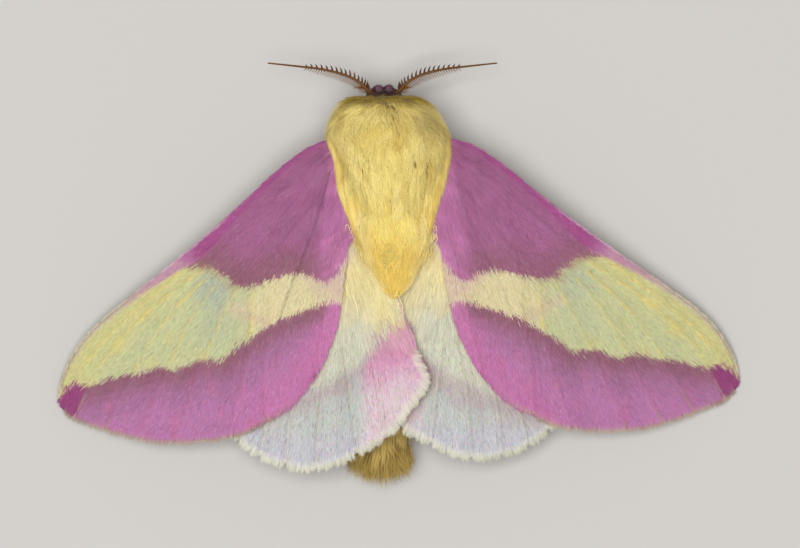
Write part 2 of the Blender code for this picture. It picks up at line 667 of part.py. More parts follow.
def head():
    """The head's core with its tufts and palps, cut clear of the thorax, the eyes and the antennae."""
    core = core_solid("head", HEAD, 12, 16)
    pieces = coat_locks(HEAD, HEAD_ROWS, HEAD_LOCK, seed=4)
    for side in (LEFT, RIGHT):
        path = [sided(side, *p) for p in PALP_PATH]
        pieces.append(tube("palp", path, [0.25, 0.24, 0.2], 6, path[-1] + Vector((0, -0.1, 0.3))))
    combine(core, pieces, "UNION")
    cutters = [core_solid("cutter", THORAX, 14, 20, grow=GAP)]
    for side in (LEFT, RIGHT):
        cutters += [antenna(side, "cutter", CLEAR), eye_clearance(side)]
    return keep_largest(combine(core, cutters, "DIFFERENCE"))


def thorax():
    """The woolly thorax, its locks draped over the wing roots and cut clear of every neighbour."""
    core = core_solid("thorax", THORAX, 14, 20)
    combine(core, coat_locks(THORAX, THORAX_ROWS, THORAX_LOCK, seed=10, wings=True), "UNION")
    cutters = [core_solid("cutter", ABDOMEN, 12, 16, grow=COAT_CLEAR, profile="coat"),
               core_solid("cutter", HEAD, 10, 14, grow=CLEAR, profile="coat")]
    for side in (LEFT, RIGHT):
        cutters += [form(side, "cutter", CLEAR) for form in (forewing, hindwing, antenna)]
        cutters.append(ball("cutter", sided(side, *EYE_PLACE), EYE_RADIUS + CLEAR, 8, 14))
        cutters += [leg(side, "cutter", sizes, CLEAR) for sizes in LEGS.values()]
    return keep_largest(combine(core, cutters, "DIFFERENCE"))


def abdomen():
    """The woolly abdomen and the brush at its end, cut clear of the hindwings over it."""
    core = core_solid("abdomen", ABDOMEN, 16, 16)
    combine(core, coat_locks(ABDOMEN, ABDOMEN_ROWS, ABDOMEN_LOCK, seed=7), "UNION")
    cutters = [core_solid("cutter", THORAX, 14, 20, grow=CLEAR)]
    cutters += [hindwing(side, "cutter", CLEAR) for side in (LEFT, RIGHT)]
    return keep_largest(combine(core, cutters, "DIFFERENCE"))


def build():
    for obj in list(bpy.data.objects):
        bpy.data.objects.remove(obj)
    finish(thorax(), "yellow_coat")
    finish(abdomen(), "yellow_coat")
    finish(head(), "rosy_coat")
    for side, word in ((LEFT, "left"), (RIGHT, "right")):
        finish(forewing(side, "forewing_" + word), "forewing_scales")
        finish(hindwing(side, "hindwing_" + word), "hindwing_scales")
        finish(antenna(side, "antenna_" + word), "antenna_amber")
        finish(eye(side, "eye_" + word), "eye_dark")
        for place, sizes in LEGS.items():
            finish(leg(side, "leg_" + place + "_" + word, sizes), "rosy_coat")


build()
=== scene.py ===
import math

import bmesh
import bpy
import numpy as np
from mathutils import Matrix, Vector


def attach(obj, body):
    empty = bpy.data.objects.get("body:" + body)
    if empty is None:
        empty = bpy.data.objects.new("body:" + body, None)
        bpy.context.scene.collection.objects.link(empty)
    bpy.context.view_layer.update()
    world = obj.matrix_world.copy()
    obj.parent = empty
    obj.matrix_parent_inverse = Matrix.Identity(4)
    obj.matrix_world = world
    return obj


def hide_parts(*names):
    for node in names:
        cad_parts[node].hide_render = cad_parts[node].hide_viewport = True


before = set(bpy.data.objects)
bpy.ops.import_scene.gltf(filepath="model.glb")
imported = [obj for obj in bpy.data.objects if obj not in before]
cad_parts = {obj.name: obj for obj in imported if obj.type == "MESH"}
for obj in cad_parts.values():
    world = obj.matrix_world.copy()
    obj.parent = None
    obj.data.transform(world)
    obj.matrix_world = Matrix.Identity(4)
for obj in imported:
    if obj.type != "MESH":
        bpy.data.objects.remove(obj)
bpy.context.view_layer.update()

# Sizes are in millimetres until a mesh is made. The moth faces -Y, and its left side is at +X.
MM = 0.001
LEFT, RIGHT = 1, -1
SIDES = ((LEFT, "left"), (RIGHT, "right"))

# The body's middle from above as (y, x), and the height of each part's axis as (y, z)
BODY_LINE = [(-9.9, 0.83), (-7.5, 0.70), (-4.4, 0.49), (-0.8, 0.29), (2.9, 0.34), (6.5, 0.70), (9.9, 1.12),
             (11.3, 1.25)]
TRUNK_HEIGHT = [(-9.4, 4.75), (-8.0, 4.5), (-6.4, 4.35), (-4.5, 4.25), (-2.9, 4.15), (-1.6, 4.1), (0.5, 4.0)]
BELLY_HEIGHT = [(-2.4, 3.3), (0.0, 3.1), (3.0, 2.9), (6.0, 2.6), (9.0, 2.25), (11.3, 1.95)]
HEAD_HEIGHT = [(-10.1, 3.35), (-8.0, 3.35)]

# Half widths along each part as (y, half width): the skin, and the outer face of the coat on it
THORAX = {
    "core": [(-8.9, 0), (-8.8, 1.05), (-8.4, 1.8), (-7.6, 2.35), (-6.6, 2.6), (-5.6, 2.5), (-4.7, 2.25),
             (-3.7, 1.9), (-2.8, 1.5), (-2.3, 0)],
    "coat": [(-9.5, 0), (-9.42, 1.5), (-9.1, 2.3), (-8.4, 2.95), (-7.4, 3.4), (-6.2, 3.35), (-5.0, 3.05),
             (-3.9, 2.65), (-2.8, 2.25), (-1.7, 1.85)],
    "flat": 0.9,
    "height": TRUNK_HEIGHT,
}
ABDOMEN = {
    "core": [(-2.6, 0), (-2.3, 0.9), (-1.4, 1.25), (-0.2, 1.45), (1.4, 1.55), (3.2, 1.55), (5.0, 1.5),
             (6.8, 1.35), (8.2, 1.1), (9.0, 0.7), (9.3, 0)],
    "coat": [(-2.6, 0), (-2.3, 1.2), (-1.6, 1.5), (-0.4, 1.85), (1.4, 1.95), (3.4, 1.95), (5.4, 1.9),
             (7.4, 1.85), (9.0, 1.8), (10.2, 1.75), (11.1, 1.65)],
    "flat": 0.8,
    "height": BELLY_HEIGHT,
}
HEAD = {
    "core": [(-9.75, 0), (-9.65, 0.45), (-9.3, 0.75), (-8.95, 0.85), (-8.55, 0.8), (-8.0, 0)],
    "coat": [(-10.0, 0), (-9.95, 0.55), (-9.6, 0.95), (-9.0, 1.1), (-8.5, 1.0), (-8.0, 0.7)],
    "flat": 1.2,
    "height": HEAD_HEIGHT,
}

# The wings' roof over the body, and the step from one wing to the one that lies over it
RIDGE_HEIGHT, RIDGE_FALL = 5.2, 0.012
ROOF_SLOPE, RIDGE_ROUND = 0.33, 3.0
HINDWING_LIFT, FOREWING_LIFT, OVERLAP_LIFT = 0.2, 0.74, 0.75
FOLD_FULL, FOLD_END, FOLD_SPREAD = 1.15, 2.45, 0.35
FOLD_START_Y, FOLD_FULL_Y = -1.8, 0.3

# A forewing's four edges as (along, across): along runs to the tip and across points to the tail
COSTA = [(-0.9, 0.5), (0.6, -0.2), (2.4, -0.52), (5.0, -0.63), (8.0, -0.78), (10.5, -1.0), (13.2, -1.26),
         (15.5, -1.43), (17.2, -1.22), (18.6, -0.7), (19.45, -0.05), (19.8, 0.6)]
OUTER_MARGIN = [(19.8, 0.6), (19.77, 1.15), (19.5, 1.75), (18.7, 3.2), (17.62, 4.9), (16.3, 6.25),
                (15.0, 7.3), (13.6, 8.12), (12.1, 8.5)]
INNER_MARGIN = [(1.4, 4.2), (2.7, 4.55), (3.5, 5.25), (4.6, 6.15), (6.0, 7.25), (7.4, 7.97), (8.75, 8.45),
                (10.6, 8.7), (12.1, 8.5)]
FOREWING_ROOT = [(-0.9, 0.5), (-0.4, 1.8), (0.4, 3.1), (1.4, 4.2)]
FOREWING_VEINS = {
    "radius": [(0.6, 0.55), (4.0, 0.45), (8.9, 0.4), (13.0, 0.0), (16.5, 0.2), (19.3, 1.15)],
    "subcosta": [(8.0, -0.1), (11.0, -0.35), (14.7, -0.55), (17.6, -0.35)],
    "media_1": [(9.6, 0.85), (12.4, 0.95), (14.5, 1.35), (17.0, 2.2), (19.0, 2.9)],
    "media_2": [(9.5, 1.5), (11.5, 1.85), (14.0, 2.75), (16.2, 3.7), (18.1, 4.4)],
    "media_3": [(8.7, 2.35), (10.2, 2.9), (12.3, 3.75), (14.9, 5.0), (16.9, 5.9)],
    "cubitus": [(0.5, 1.6), (3.0, 1.95), (6.2, 2.5), (8.7, 2.35)],
    "cubital_1": [(7.7, 2.5), (9.6, 4.4), (12.2, 6.3), (14.6, 7.7)],
    "cubital_2": [(6.2, 2.5), (8.5, 4.7), (10.7, 6.6), (12.4, 8.4)],
    "anal": [(0.9, 2.5), (3.2, 4.2), (6.0, 6.3), (8.6, 8.2)],
}
FOREWING_PLACE = {LEFT: ((3.87, -7.02), 44.0), RIGHT: ((-2.89, -7.07), 40.0)}
FAN_POINT = (-1.6, 0.2)  # the scales of a forewing fan out from here

# The yellow band's two edges, from the costa to the inner margin, and the crease of a forewing
BAND_BASAL_EDGE = [(9.9, -1.0), (9.8, -0.3), (9.2, 0.3), (8.85, 1.1), (8.65, 1.75), (8.68, 2.05), (8.3, 2.63),
                   (7.5, 3.1), (6.65, 3.5), (5.8, 4.1), (5.45, 4.7), (5.1, 5.4), (4.5, 5.45), (3.8, 5.3),
                   (3.2, 5.1)]
BAND_OUTER_EDGE = [(19.9, -0.2), (19.2, -0.1), (18.4, -0.05), (17.9, 0.57), (17.3, 0.9), (16.3, 1.4),
                   (15.45, 2.0), (14.5, 2.5), (13.95, 3.23), (13.0, 3.57), (12.6, 3.8), (12.0, 4.4),
                   (11.6, 4.55), (10.6, 4.6), (9.6, 4.8), (8.8, 4.95), (7.9, 5.3), (6.9, 5.7), (5.9, 6.15),
                   (5.4, 6.7), (5.0, 7.1)]
CREASE = [(1.8, 1.9), (4.0, 3.1), (6.9, 4.4), (8.5, 5.3), (9.9, 6.4)]
COSTAL_STRIP = ([0.0, 5.7, 9.0, 10.2, 12.0, 14.8, 17.2, 19.0, 20.0],
                [0.1, 0.35, 0.8, 0.56, 0.34, 0.3, 0.24, 0.12, 0.0])

# How far in from the margin each vein shows bare through the rose, and worn marks on the forewings
VEIN_CUTS = {
    LEFT: {"radius": 1.6, "media_1": 0.95, "media_2": 0.35, "media_3": 0.3, "cubital_1": 0.15},
    RIGHT: {"radius": 1.35, "media_1": 1.6, "media_2": 1.1, "media_3": 0.6, "cubital_1": 0.25},
}
WORN_MARKS = {LEFT: [(0.1, 0.3), (0.75, 0.95), (1.15, 1.55)], RIGHT: [(1.5, 0.1), (1.75, 0.32), (2.05, 0.5)]}

# A hindwing's four edges as (outward, backward) from its hinge
HINDWING_FRONT = [(-0.1, -0.3), (1.1, 1.6), (2.4, 3.4), (4.16, 6.1), (6.05, 9.0), (6.7, 10.25)]
HINDWING_MARGIN = [(6.7, 10.25), (6.15, 11.05), (5.4, 11.7), (4.55, 12.2), (3.5, 12.55), (2.35, 12.74),
                   (1.3, 12.62), (0.35, 12.3), (-0.5, 11.85), (-1.3, 11.45), (-2.0, 10.95), (-2.6, 10.3),
                   (-3.25, 9.45), (-3.85, 8.65)]
HINDWING_INNER = [(-1.1, 0.1), (-1.3, 1.3), (-1.7, 2.4), (-2.2, 3.55), (-2.8, 4.85), (-3.4, 6.1), (-4.0, 7.3),
                  (-4.15, 8.0), (-3.85, 8.65)]
HINDWING_ROOT = [(-0.1, -0.3), (-0.5, -0.2), (-1.1, 0.1)]
HINDWING_VEINS = {
    "costa": [(0.9, 1.9), (2.7, 5.0), (4.9, 9.0), (5.9, 11.2)],
    "radius": [(0.5, 2.2), (2.0, 5.6), (3.9, 9.0), (4.8, 12.0)],
    "media_1": [(1.6, 4.8), (2.5, 8.0), (3.1, 9.8), (3.4, 12.5)],
    "media_2": [(0.2, 2.6), (0.9, 6.0), (1.5, 9.0), (1.8, 12.6)],
    "cubital_1": [(0.5, 4.2), (0.2, 7.0), (-0.1, 9.4), (-0.4, 11.9)],
    "cubital_2": [(-0.2, 2.8), (-0.9, 5.2), (-1.4, 8.0), (-1.9, 11.0)],
}
HINDWING_PLACE = {LEFT: (2.57, -2.44), RIGHT: (-1.95, -2.96)}
HINDWING_FREE_EDGE = HINDWING_MARGIN + [(-4.15, 8.0), (-4.0, 7.3), (-3.4, 6.1)]
HINDWING_FAN = (-0.4, -2.2)  # the scales of a hindwing fan out from here
HAIR_FAN = (0.9, -2.2)  # its long hairs fan out from here
TUCK = -2.95  # the right hindwing's inner fold turns under at this distance

# How far back the left hindwing's rose begins and the mauve line runs, by how far outward
ROSY_START = ([-3.4, -2.7, -2.05, -1.45, -0.95, -0.5, 0.3], [4.5, 4.95, 5.55, 6.1, 6.5, 7.1, 8.6])
MAUVE_LINE = ([-2.0, -0.8, 0.9, 3.8, 5.0], [6.9, 7.42, 8.5, 9.56, 9.9])
RIGHT_LINE_BACK = 0.45  # on the right hindwing the mauve line runs this much further back

# Antennae and legs as (outward from the body's middle, y, z)
ANTENNA_PATH = [(0.45, -9.3, 3.95), (0.86, -9.62, 4.12), (1.12, -9.92, 4.2), (1.76, -10.3, 4.2),
                (2.52, -10.56, 4.1), (3.4, -10.74, 3.9), (4.3, -10.85, 3.65), (5.12, -10.95, 3.35),
                (5.97, -11.05, 3.0)]
EYE_RADIUS, EYE_PLACE = 0.52, (0.74, -8.93, 3.25)
PALP_PATH = [(0.3, -9.15, 2.75), (0.33, -9.5, 2.62), (0.33, -9.66, 2.9)]
LEGS = {
    "front": {"hip": (0.8, -7.3, 2.9), "path": [(1.9, -7.3, 1.75), (2.25, -7.4, 0.42), (2.1, -8.35, 0.11)]},
    "middle": {"hip": (0.95, -5.45, 2.9), "path": [(2.9, -5.9, 2.15), (3.9, -5.5, 0.42), (5.2, -4.85, 0.11)]},
    "hind": {"hip": (0.85, -4.15, 2.9), "path": [(2.3, -2.2, 2.2), (3.2, 0.6, 0.42), (3.95, 3.35, 0.11)]},
}

# Colours as they look, red, green and blue from 0 to 255
PAINT = {
    "rose": (165, 98, 139), "rose_costal": (168, 80, 138), "rose_inner": (198, 122, 172),
    "rose_smoky": (146, 94, 110), "rose_margin": (186, 120, 168), "rose_outer": (167, 111, 149),
    "rose_apex": (152, 68, 122), "rose_edge": (196, 118, 168), "rose_hem": (192, 134, 170),
    "rose_red": (206, 112, 150), "costal_edge": (204, 184, 188), "costal_grey": (202, 192, 172),
    "costal_line": (146, 108, 100), "brown_haze": (170, 140, 112),
    "band": (200, 201, 152), "band_costal": (208, 202, 140), "band_inner": (222, 209, 162),
    "band_streak": (226, 206, 122), "cell_grey": (180, 186, 162), "band_blush": (214, 190, 162),
    "band_end": (214, 190, 168), "speck": (96, 80, 70), "vein_cut": (168, 138, 118),
    "fringe_forewing": (206, 192, 158),
    "cream": (226, 216, 176), "cream_deep": (236, 220, 158), "cream_green": (212, 212, 190),
    "cream_painted_shade": (228, 214, 164), "pearl": (197, 200, 194), "lilac": (202, 198, 207),
    "mauve_line": (190, 176, 174), "blush": (214, 148, 182), "blush_pale": (224, 200, 206),
    "hindwing_vein": (212, 198, 178), "overlap_shadow": (150, 128, 118), "fringe_hindwing": (228, 226, 204),
    "wool": (250, 230, 138), "wool_pale": (254, 242, 174), "wool_gold": (234, 200, 94),
    "wool_olive_shaded": (158, 132, 34), "wool_grey": (172, 152, 92), "wool_root_shade": (206, 168, 80),
    "brush": (180, 156, 86), "brush_root_shade": (130, 98, 46), "face": (92, 56, 58), "face_pale_and_highlight": (172, 118, 142),
    "antenna": (112, 74, 34), "comb": (90, 60, 46), "antenna_base": (132, 88, 36),
    "leg": (190, 112, 142), "leg_pale": (222, 180, 150), "foot": (120, 78, 84), "eye": (30, 20, 16),
}


def paint(name):
    return np.array(PAINT[name], float) / 255


def linear(colour):
    """Colours as they look turned into the renderer's own linear values."""
    colour = np.clip(np.asarray(colour, float), 0, 1)
    return np.where(colour <= 0.04045, colour / 12.92, ((colour + 0.055) / 1.055) ** 2.4)


def ramp(value, low, high):
    """0 at low, 1 at high, and smooth between them."""
    share = np.clip((np.asarray(value, float) - low) / (high - low), 0, 1)
    return share * share * (3 - 2 * share)


def blend(first, second, share):
    """Colours mixed point by point."""
    share = np.asarray(share, float)[..., None]
    return np.asarray(first) * (1 - share) + np.asarray(second) * share


def table_at(table, at):
    """The smooth curve through (position, value) pairs, and straight beyond its ends."""
    places, values = np.array(table, float).T
    slopes = np.empty_like(values)
    slopes[1:-1] = (values[2:] - values[:-2]) / (places[2:] - places[:-2])
    slopes[0] = (values[1] - values[0]) / (places[1] - places[0])
    slopes[-1] = (values[-1] - values[-2]) / (places[-1] - places[-2])
    at = np.asarray(at, float)
    k = np.clip(np.searchsorted(places, at) - 1, 0, len(places) - 2)
    width = places[k + 1] - places[k]
    t = (at - places[k]) / width
    smooth = (values[k] * (1 + 2 * t) * (1 - t) ** 2 + slopes[k] * width * t * (1 - t) ** 2
              + values[k + 1] * t * t * (3 - 2 * t) - slopes[k + 1] * width * t * t * (1 - t))
    before = values[0] + slopes[0] * (at - places[0])
    after = values[-1] + slopes[-1] * (at - places[-1])
    return np.where(at < places[0], before, np.where(at > places[-1], after, smooth))


def curve_at(points, share):
    """Points of the smooth curve through points at shares of its way, straight on past its end."""
    points = np.array(points, float)
    last = len(points) - 1
    place = np.maximum(np.asarray(share, float), 0) * last
    k = np.clip(place.astype(int), 0, last - 1)
    f = np.minimum(place - k, 1)[..., None]
    padded = np.vstack([2 * points[0] - points[1], points, 2 * points[-1] - points[-2]])
    before, a, b, after = padded[k], padded[k + 1], padded[k + 2], padded[k + 3]
    inside = (a + (b - before) * f / 2 + (before * 2 - a * 5 + b * 4 - after) * f * f / 2
              + (a * 3 - before - b * 3 + after) * f ** 3 / 2)
    beyond = np.maximum(place - last, 0)[..., None]
    return inside + (points[-1] - points[-2]) * beyond


def even_curve(points, count):
    """Points evenly spaced along the smooth curve through points."""
    fine = curve_at(points, np.linspace(0, 1, 400))
    lengths = np.concatenate([[0], np.cumsum(np.linalg.norm(np.diff(fine, axis=0), axis=1))])
    wanted = np.linspace(0, lengths[-1], count)
    return np.stack([np.interp(wanted, lengths, fine[:, i]) for i in range(fine.shape[1])], -1)


def line_distance(line, points, fine=60):
    """How far points lie from a line: positive on the left of its run from first point to last."""
    line = even_curve(line, fine)
    start, run = line[:-1], np.diff(line, axis=0)
    away = points[:, None, :] - start[None]
    share = np.clip((away * run).sum(-1) / (run ** 2).sum(-1), 0, 1)
    away = away - share[..., None] * run
    distance = np.linalg.norm(away, axis=-1)
    rows, near = np.arange(len(points)), distance.argmin(1)
    turn = run[near, 0] * away[rows, near, 1] - run[near, 1] * away[rows, near, 0]
    return distance[rows, near] * np.where(turn < 0, -1, 1)


def nearest_vein(veins, points):
    """How far points lie from the nearest vein."""
    return np.min([np.abs(line_distance(vein, points, 24)) for vein in veins.values()], axis=0)


def ripple(points, wave, seed):
    """A soft random pattern from -1 to 1, with features about a wave long."""
    draw = np.random.default_rng(seed)
    total = np.zeros(len(points))
    for _ in range(9):
        turn = draw.normal(size=points.shape[1])
        turn = turn / np.linalg.norm(turn) * draw.uniform(0.6, 1.5) * 2 * math.pi / wave
        total += np.sin(points @ turn + draw.uniform(0, 2 * math.pi))
    return total / 4.2


def middle(y):
    return table_at(BODY_LINE, y)


def body_places(part, s, around, lift):
    """Points of a body part: s from its front to its rear, the angle around from its left side over its back,
    and lift, which is 0 on the skin and 1 on the coat's outer face."""
    core, coat = curve_at(part["core"], s), curve_at(part["coat"], s)
    profile = core + (coat - core) * np.asarray(lift, float)[..., None]
    y, half = profile[..., 0], np.maximum(profile[..., 1], 0)
    return np.stack([middle(y) + half * np.cos(around), y,
                     table_at(part["height"], y) + part["flat"] * half * np.sin(around)], -1)


def roof(x, y):
    out = x - middle(y)
    return RIDGE_HEIGHT - RIDGE_FALL * y * y - ROOF_SLOPE * (np.hypot(out, RIDGE_ROUND) - RIDGE_ROUND)


def forewing_plan(side, points):
    """Where points of a forewing's own plane lie, seen from above."""
    (x, y), sweep = FOREWING_PLACE[side]
    c, s = math.cos(math.radians(sweep)), math.sin(math.radians(sweep))
    along, across = points[..., 0], points[..., 1]
    return np.stack([x + side * (along * c - across * s), y + along * s + across * c], -1)


def hindwing_plan(side, points):
    x, y = HINDWING_PLACE[side]
    outward = np.maximum(points[..., 0], TUCK) if side == RIGHT else points[..., 0]
    return np.stack([x + side * outward, y + points[..., 1]], -1)


def vein_relief(distance):
    """A fine ridge on each vein, and the membrane between them sagging a little."""
    return 0.04 * np.exp(-(distance / 0.12) ** 2) - 0.1 * ramp(distance, 0.1, 1.3)


def forewing_height(side, points):
    flat = points.reshape(-1, 2)
    plan = forewing_plan(side, flat)
    height = roof(plan[:, 0], plan[:, 1]) + FOREWING_LIFT + vein_relief(nearest_vein(FOREWING_VEINS, flat))
    height = height + 0.05 * ripple(flat, 3.1, 21 + side)
    depth = 0.035 if side == LEFT else 0.02
    height = height - depth * np.exp(-(line_distance(CREASE, flat) / 0.22) ** 2)
    return height.reshape(points.shape[:-1])


def fold_share(x, y):
    """How far the left hindwing is raised on to the right one: 0 beside the fold and 1 on it."""
    end = FOLD_END + FOLD_SPREAD * np.maximum(y - 1, 0)
    return ramp((end - x) / (end - FOLD_FULL), 0, 1) * ramp(y, FOLD_START_Y, FOLD_FULL_Y)


def hindwing_height(side, points):
    flat = points.reshape(-1, 2)
    x, y = hindwing_plan(side, flat).T
    height = roof(x, y) + HINDWING_LIFT + vein_relief(nearest_vein(HINDWING_VEINS, flat))
    height = height + 0.04 * ripple(flat, 2.3, 31 + side)
    if side == LEFT:
        height = height + OVERLAP_LIFT * fold_share(x, y)
    return height.reshape(points.shape[:-1])


def forewing_sheet(u, v):
    """A forewing's own plane: u runs from root to outer margin, and v from the costa to the inner margin."""
    return patch(COSTA, INNER_MARGIN, FOREWING_ROOT, OUTER_MARGIN, u, v)


def hindwing_sheet(u, v):
    return patch(HINDWING_FRONT, HINDWING_INNER, HINDWING_ROOT, HINDWING_MARGIN, u, v)


def patch(front, rear, root, margin, u, v):
    """The points of the even patch between four edges that meet at their ends."""
    first, last = [np.asarray(e, float) for e in (even_curve(front, 160), even_curve(rear, 160))]
    near, far = [np.asarray(e, float) for e in (even_curve(root, 160), even_curve(margin, 160))]
    u, v = np.asarray(u, float), np.asarray(v, float)

    def at(edge, share):
        place = np.linspace(0, 1, len(edge))
        return np.stack([np.interp(share, place, edge[:, i]) for i in range(2)], -1)

    u1, v1 = u[..., None], v[..., None]
    ruled = at(first, u) * (1 - v1) + at(last, u) * v1 + at(near, v) * (1 - u1) + at(far, v) * u1
    corners = (first[0] * (1 - u1) * (1 - v1) + first[-1] * u1 * (1 - v1)
               + last[0] * (1 - u1) * v1 + last[-1] * u1 * v1)
    return ruled - corners


def forewing_base(side, points, from_costa, past_basal, patchy):
    """The rose base: magenta along the costa, smoky before the band and brighter along the inner margin."""
    along, across = points[:, 0], points[:, 1]
    strip = np.interp(along, *COSTAL_STRIP)
    smoky = (0.9 if side == LEFT else 0.65) * ramp(past_basal, -2.2, -0.3)
    colour = blend(paint("rose"), paint("rose_smoky"), smoky)
    colour = blend(colour, paint("rose_costal"), 0.9 * ramp(strip - from_costa, -0.12, 0.1))
    inner = ramp(across / (along + 0.5), 0.72, 0.95)
    colour = blend(colour, paint("rose_inner"), inner * (0.7 + 0.3 * ripple(points * [0.3, 1.6], 0.8, 17)))
    return blend(colour, paint("rose_inner"), 0.2 * ramp(patchy, 0.0, 1.2) * ramp(from_costa, 0.8, 1.6))


def forewing_band(side, points, from_costa, vein, patchy):
    """The pale yellow band: yellow along the veins, grey-green in its middle and cream further in."""
    along, across = points[:, 0], points[:, 1]
    colour = blend(paint("band"), paint("band_costal"), ramp(-from_costa, -2.4, -0.5))
    cell = np.exp(-(((along - 9.7) / 0.95) ** 2 + ((across - 1.55) / 1.0) ** 2) ** 1.5)
    cell = cell + 0.5 * np.exp(-((along - 10.8) / 1.5) ** 2 - ((across - 3.0) / 0.9) ** 2)
    colour = blend(colour, paint("cell_grey"), np.clip(cell, 0, 1) * (1.0 if side == LEFT else 0.55))
    inner = ramp(across - 0.1 * along, 1.6, 3.0) * ramp(-along, -10.4, -8.2)
    colour = blend(colour, paint("band_inner"), inner)
    blush = np.exp(-((along - 9.5 + 0.35 * (across - 3.0)) / 0.35) ** 2) * ramp(across, 2.2, 3.0)
    colour = blend(colour, paint("band_blush"), 0.6 * blush)
    colour = blend(colour, paint("band_end"), ramp(-along, -6.4, -4.9))
    streak = np.exp(-(vein / 0.07) ** 2) * ramp(along, 7.5, 9.5) * (0.5 + 0.35 * ripple(points, 1.4, 19))
    haze = 0.4 * ramp(patchy, 0.2, 1.2) * ramp(along, 11.0, 14.0)
    return blend(colour, paint("band_streak"), np.clip(streak + haze, 0, 1))


def forewing_margin(side, points, past_outer, from_inner, from_margin, vein):
    """The rose margin: smoky beside the band, deep at the tip, and vivid along the inner margin."""
    along, across = points[:, 0], points[:, 1]
    colour = blend(paint("rose_outer"), paint("rose_margin"), ramp(past_outer, 0.9, 2.6))
    colour = blend(colour, paint("rose_edge"), ramp(-from_inner, -2.4, -0.3))
    smoky = 0.9 * ramp(-past_outer, -1.3, -0.15) * ramp(from_inner, 0.3, 1.2)
    colour = blend(colour, paint("rose_smoky"), smoky)
    tipward = 0.43 + 0.5 * (along - 17.9) - across
    colour = blend(colour, paint("rose_apex"), 0.95 * ramp(tipward, -0.25, 0.1) * ramp(along, 17.5, 18.3))
    rosy = ramp(ripple(points * [0.8, 1.0], 1.3, 43), 0.3, 1.1) + 0.5 * np.exp(-(vein / 0.16) ** 2)
    colour = blend(colour, paint("rose_red"), 0.3 * np.clip(rosy, 0, 1) * ramp(past_outer, 0.4, 1.4))
    for name, reach in VEIN_CUTS[side].items():
        near = np.abs(line_distance(FOREWING_VEINS[name], points, 24))
        cut = ramp(reach - from_margin, 0.0, 0.3) * np.exp(-(near / 0.04) ** 2)
        colour = blend(colour, paint("vein_cut"), 0.85 * cut)
    return colour


def forewing_hem(points, colour, from_costa):
    """The pale hem of the costa and the fine dark line inside it."""
    along = points[:, 0]
    strip = np.interp(along, *COSTAL_STRIP)
    ends = 1 - ramp(along, 18.9, 19.5)
    wedge = ramp(strip - from_costa, -0.08, 0.08) * ramp(along, 8.6, 10.0) * ends
    pale = blend(paint("rose_hem"), paint("costal_grey"), ramp(along, 10.6, 14.5))
    colour = blend(colour, pale, 0.85 * wedge)
    hem = ramp(0.12 - from_costa, 0.0, 0.06) * ramp(along, 4.0, 8.0) * ramp(-along, -13.0, -10.5)
    colour = blend(colour, paint("costal_edge"), 0.7 * hem)
    line = np.exp(-((from_costa - 0.13) / 0.04) ** 2) * ramp(along, 11.0, 12.5) * ends
    dotted = 0.45 + 0.4 * ripple(points, 0.5, 47) * ramp(-along, -14.0, -12.0)
    return blend(colour, paint("costal_line"), np.clip(dotted, 0, 1) * line)


def forewing_colours(side, points, rough):
    """A forewing's markings: rose base and margin, the pale band between, and painted shade in the crease.
    Rough moves each edge.
    """
    edge_noise = rough + 0.06 * ripple(points, 0.7, 5)
    past_basal = -line_distance(BAND_BASAL_EDGE, points) + edge_noise
    past_outer = -line_distance(BAND_OUTER_EDGE, points) + edge_noise
    from_costa = -line_distance(COSTA[::-1], points) + 0.25 * rough
    from_inner = np.abs(line_distance(INNER_MARGIN, points))
    from_margin = np.abs(line_distance(OUTER_MARGIN, points))
    vein = nearest_vein(FOREWING_VEINS, points)
    patchy = ripple(points, 2.2, 7)
    base = forewing_base(side, points, from_costa, past_basal, patchy)
    band = forewing_band(side, points, from_costa, vein, patchy)
    margin = forewing_margin(side, points, past_outer, from_inner, from_margin, vein)
    colour = blend(base, band, ramp(past_basal, -0.1, 0.1))
    haze = np.exp(-(past_basal / 0.28) ** 2) * np.exp(-((points[:, 0] - 9.1) / 0.7) ** 2)
    colour = blend(colour, paint("brown_haze"), 0.45 * haze)
    colour = blend(colour, margin, ramp(past_outer, -0.1, 0.1))
    colour = forewing_hem(points, colour, from_costa)
    # Painted shade in the crease, deeper on the left forewing
    crease = np.exp(-((line_distance(CREASE, points) + 0.3 * rough) / 0.07) ** 2)
    crease = crease * ramp(-points[:, 0], -9.9, -7.0)
    colour = blend(colour, colour * 0.74, crease * (0.65 if side == LEFT else 0.25))
    worn = np.exp(-(line_distance(WORN_MARKS[side], points) / 0.05) ** 2)
    return blend(colour, paint("speck"), worn * (0.75 if side == LEFT else 0.5))


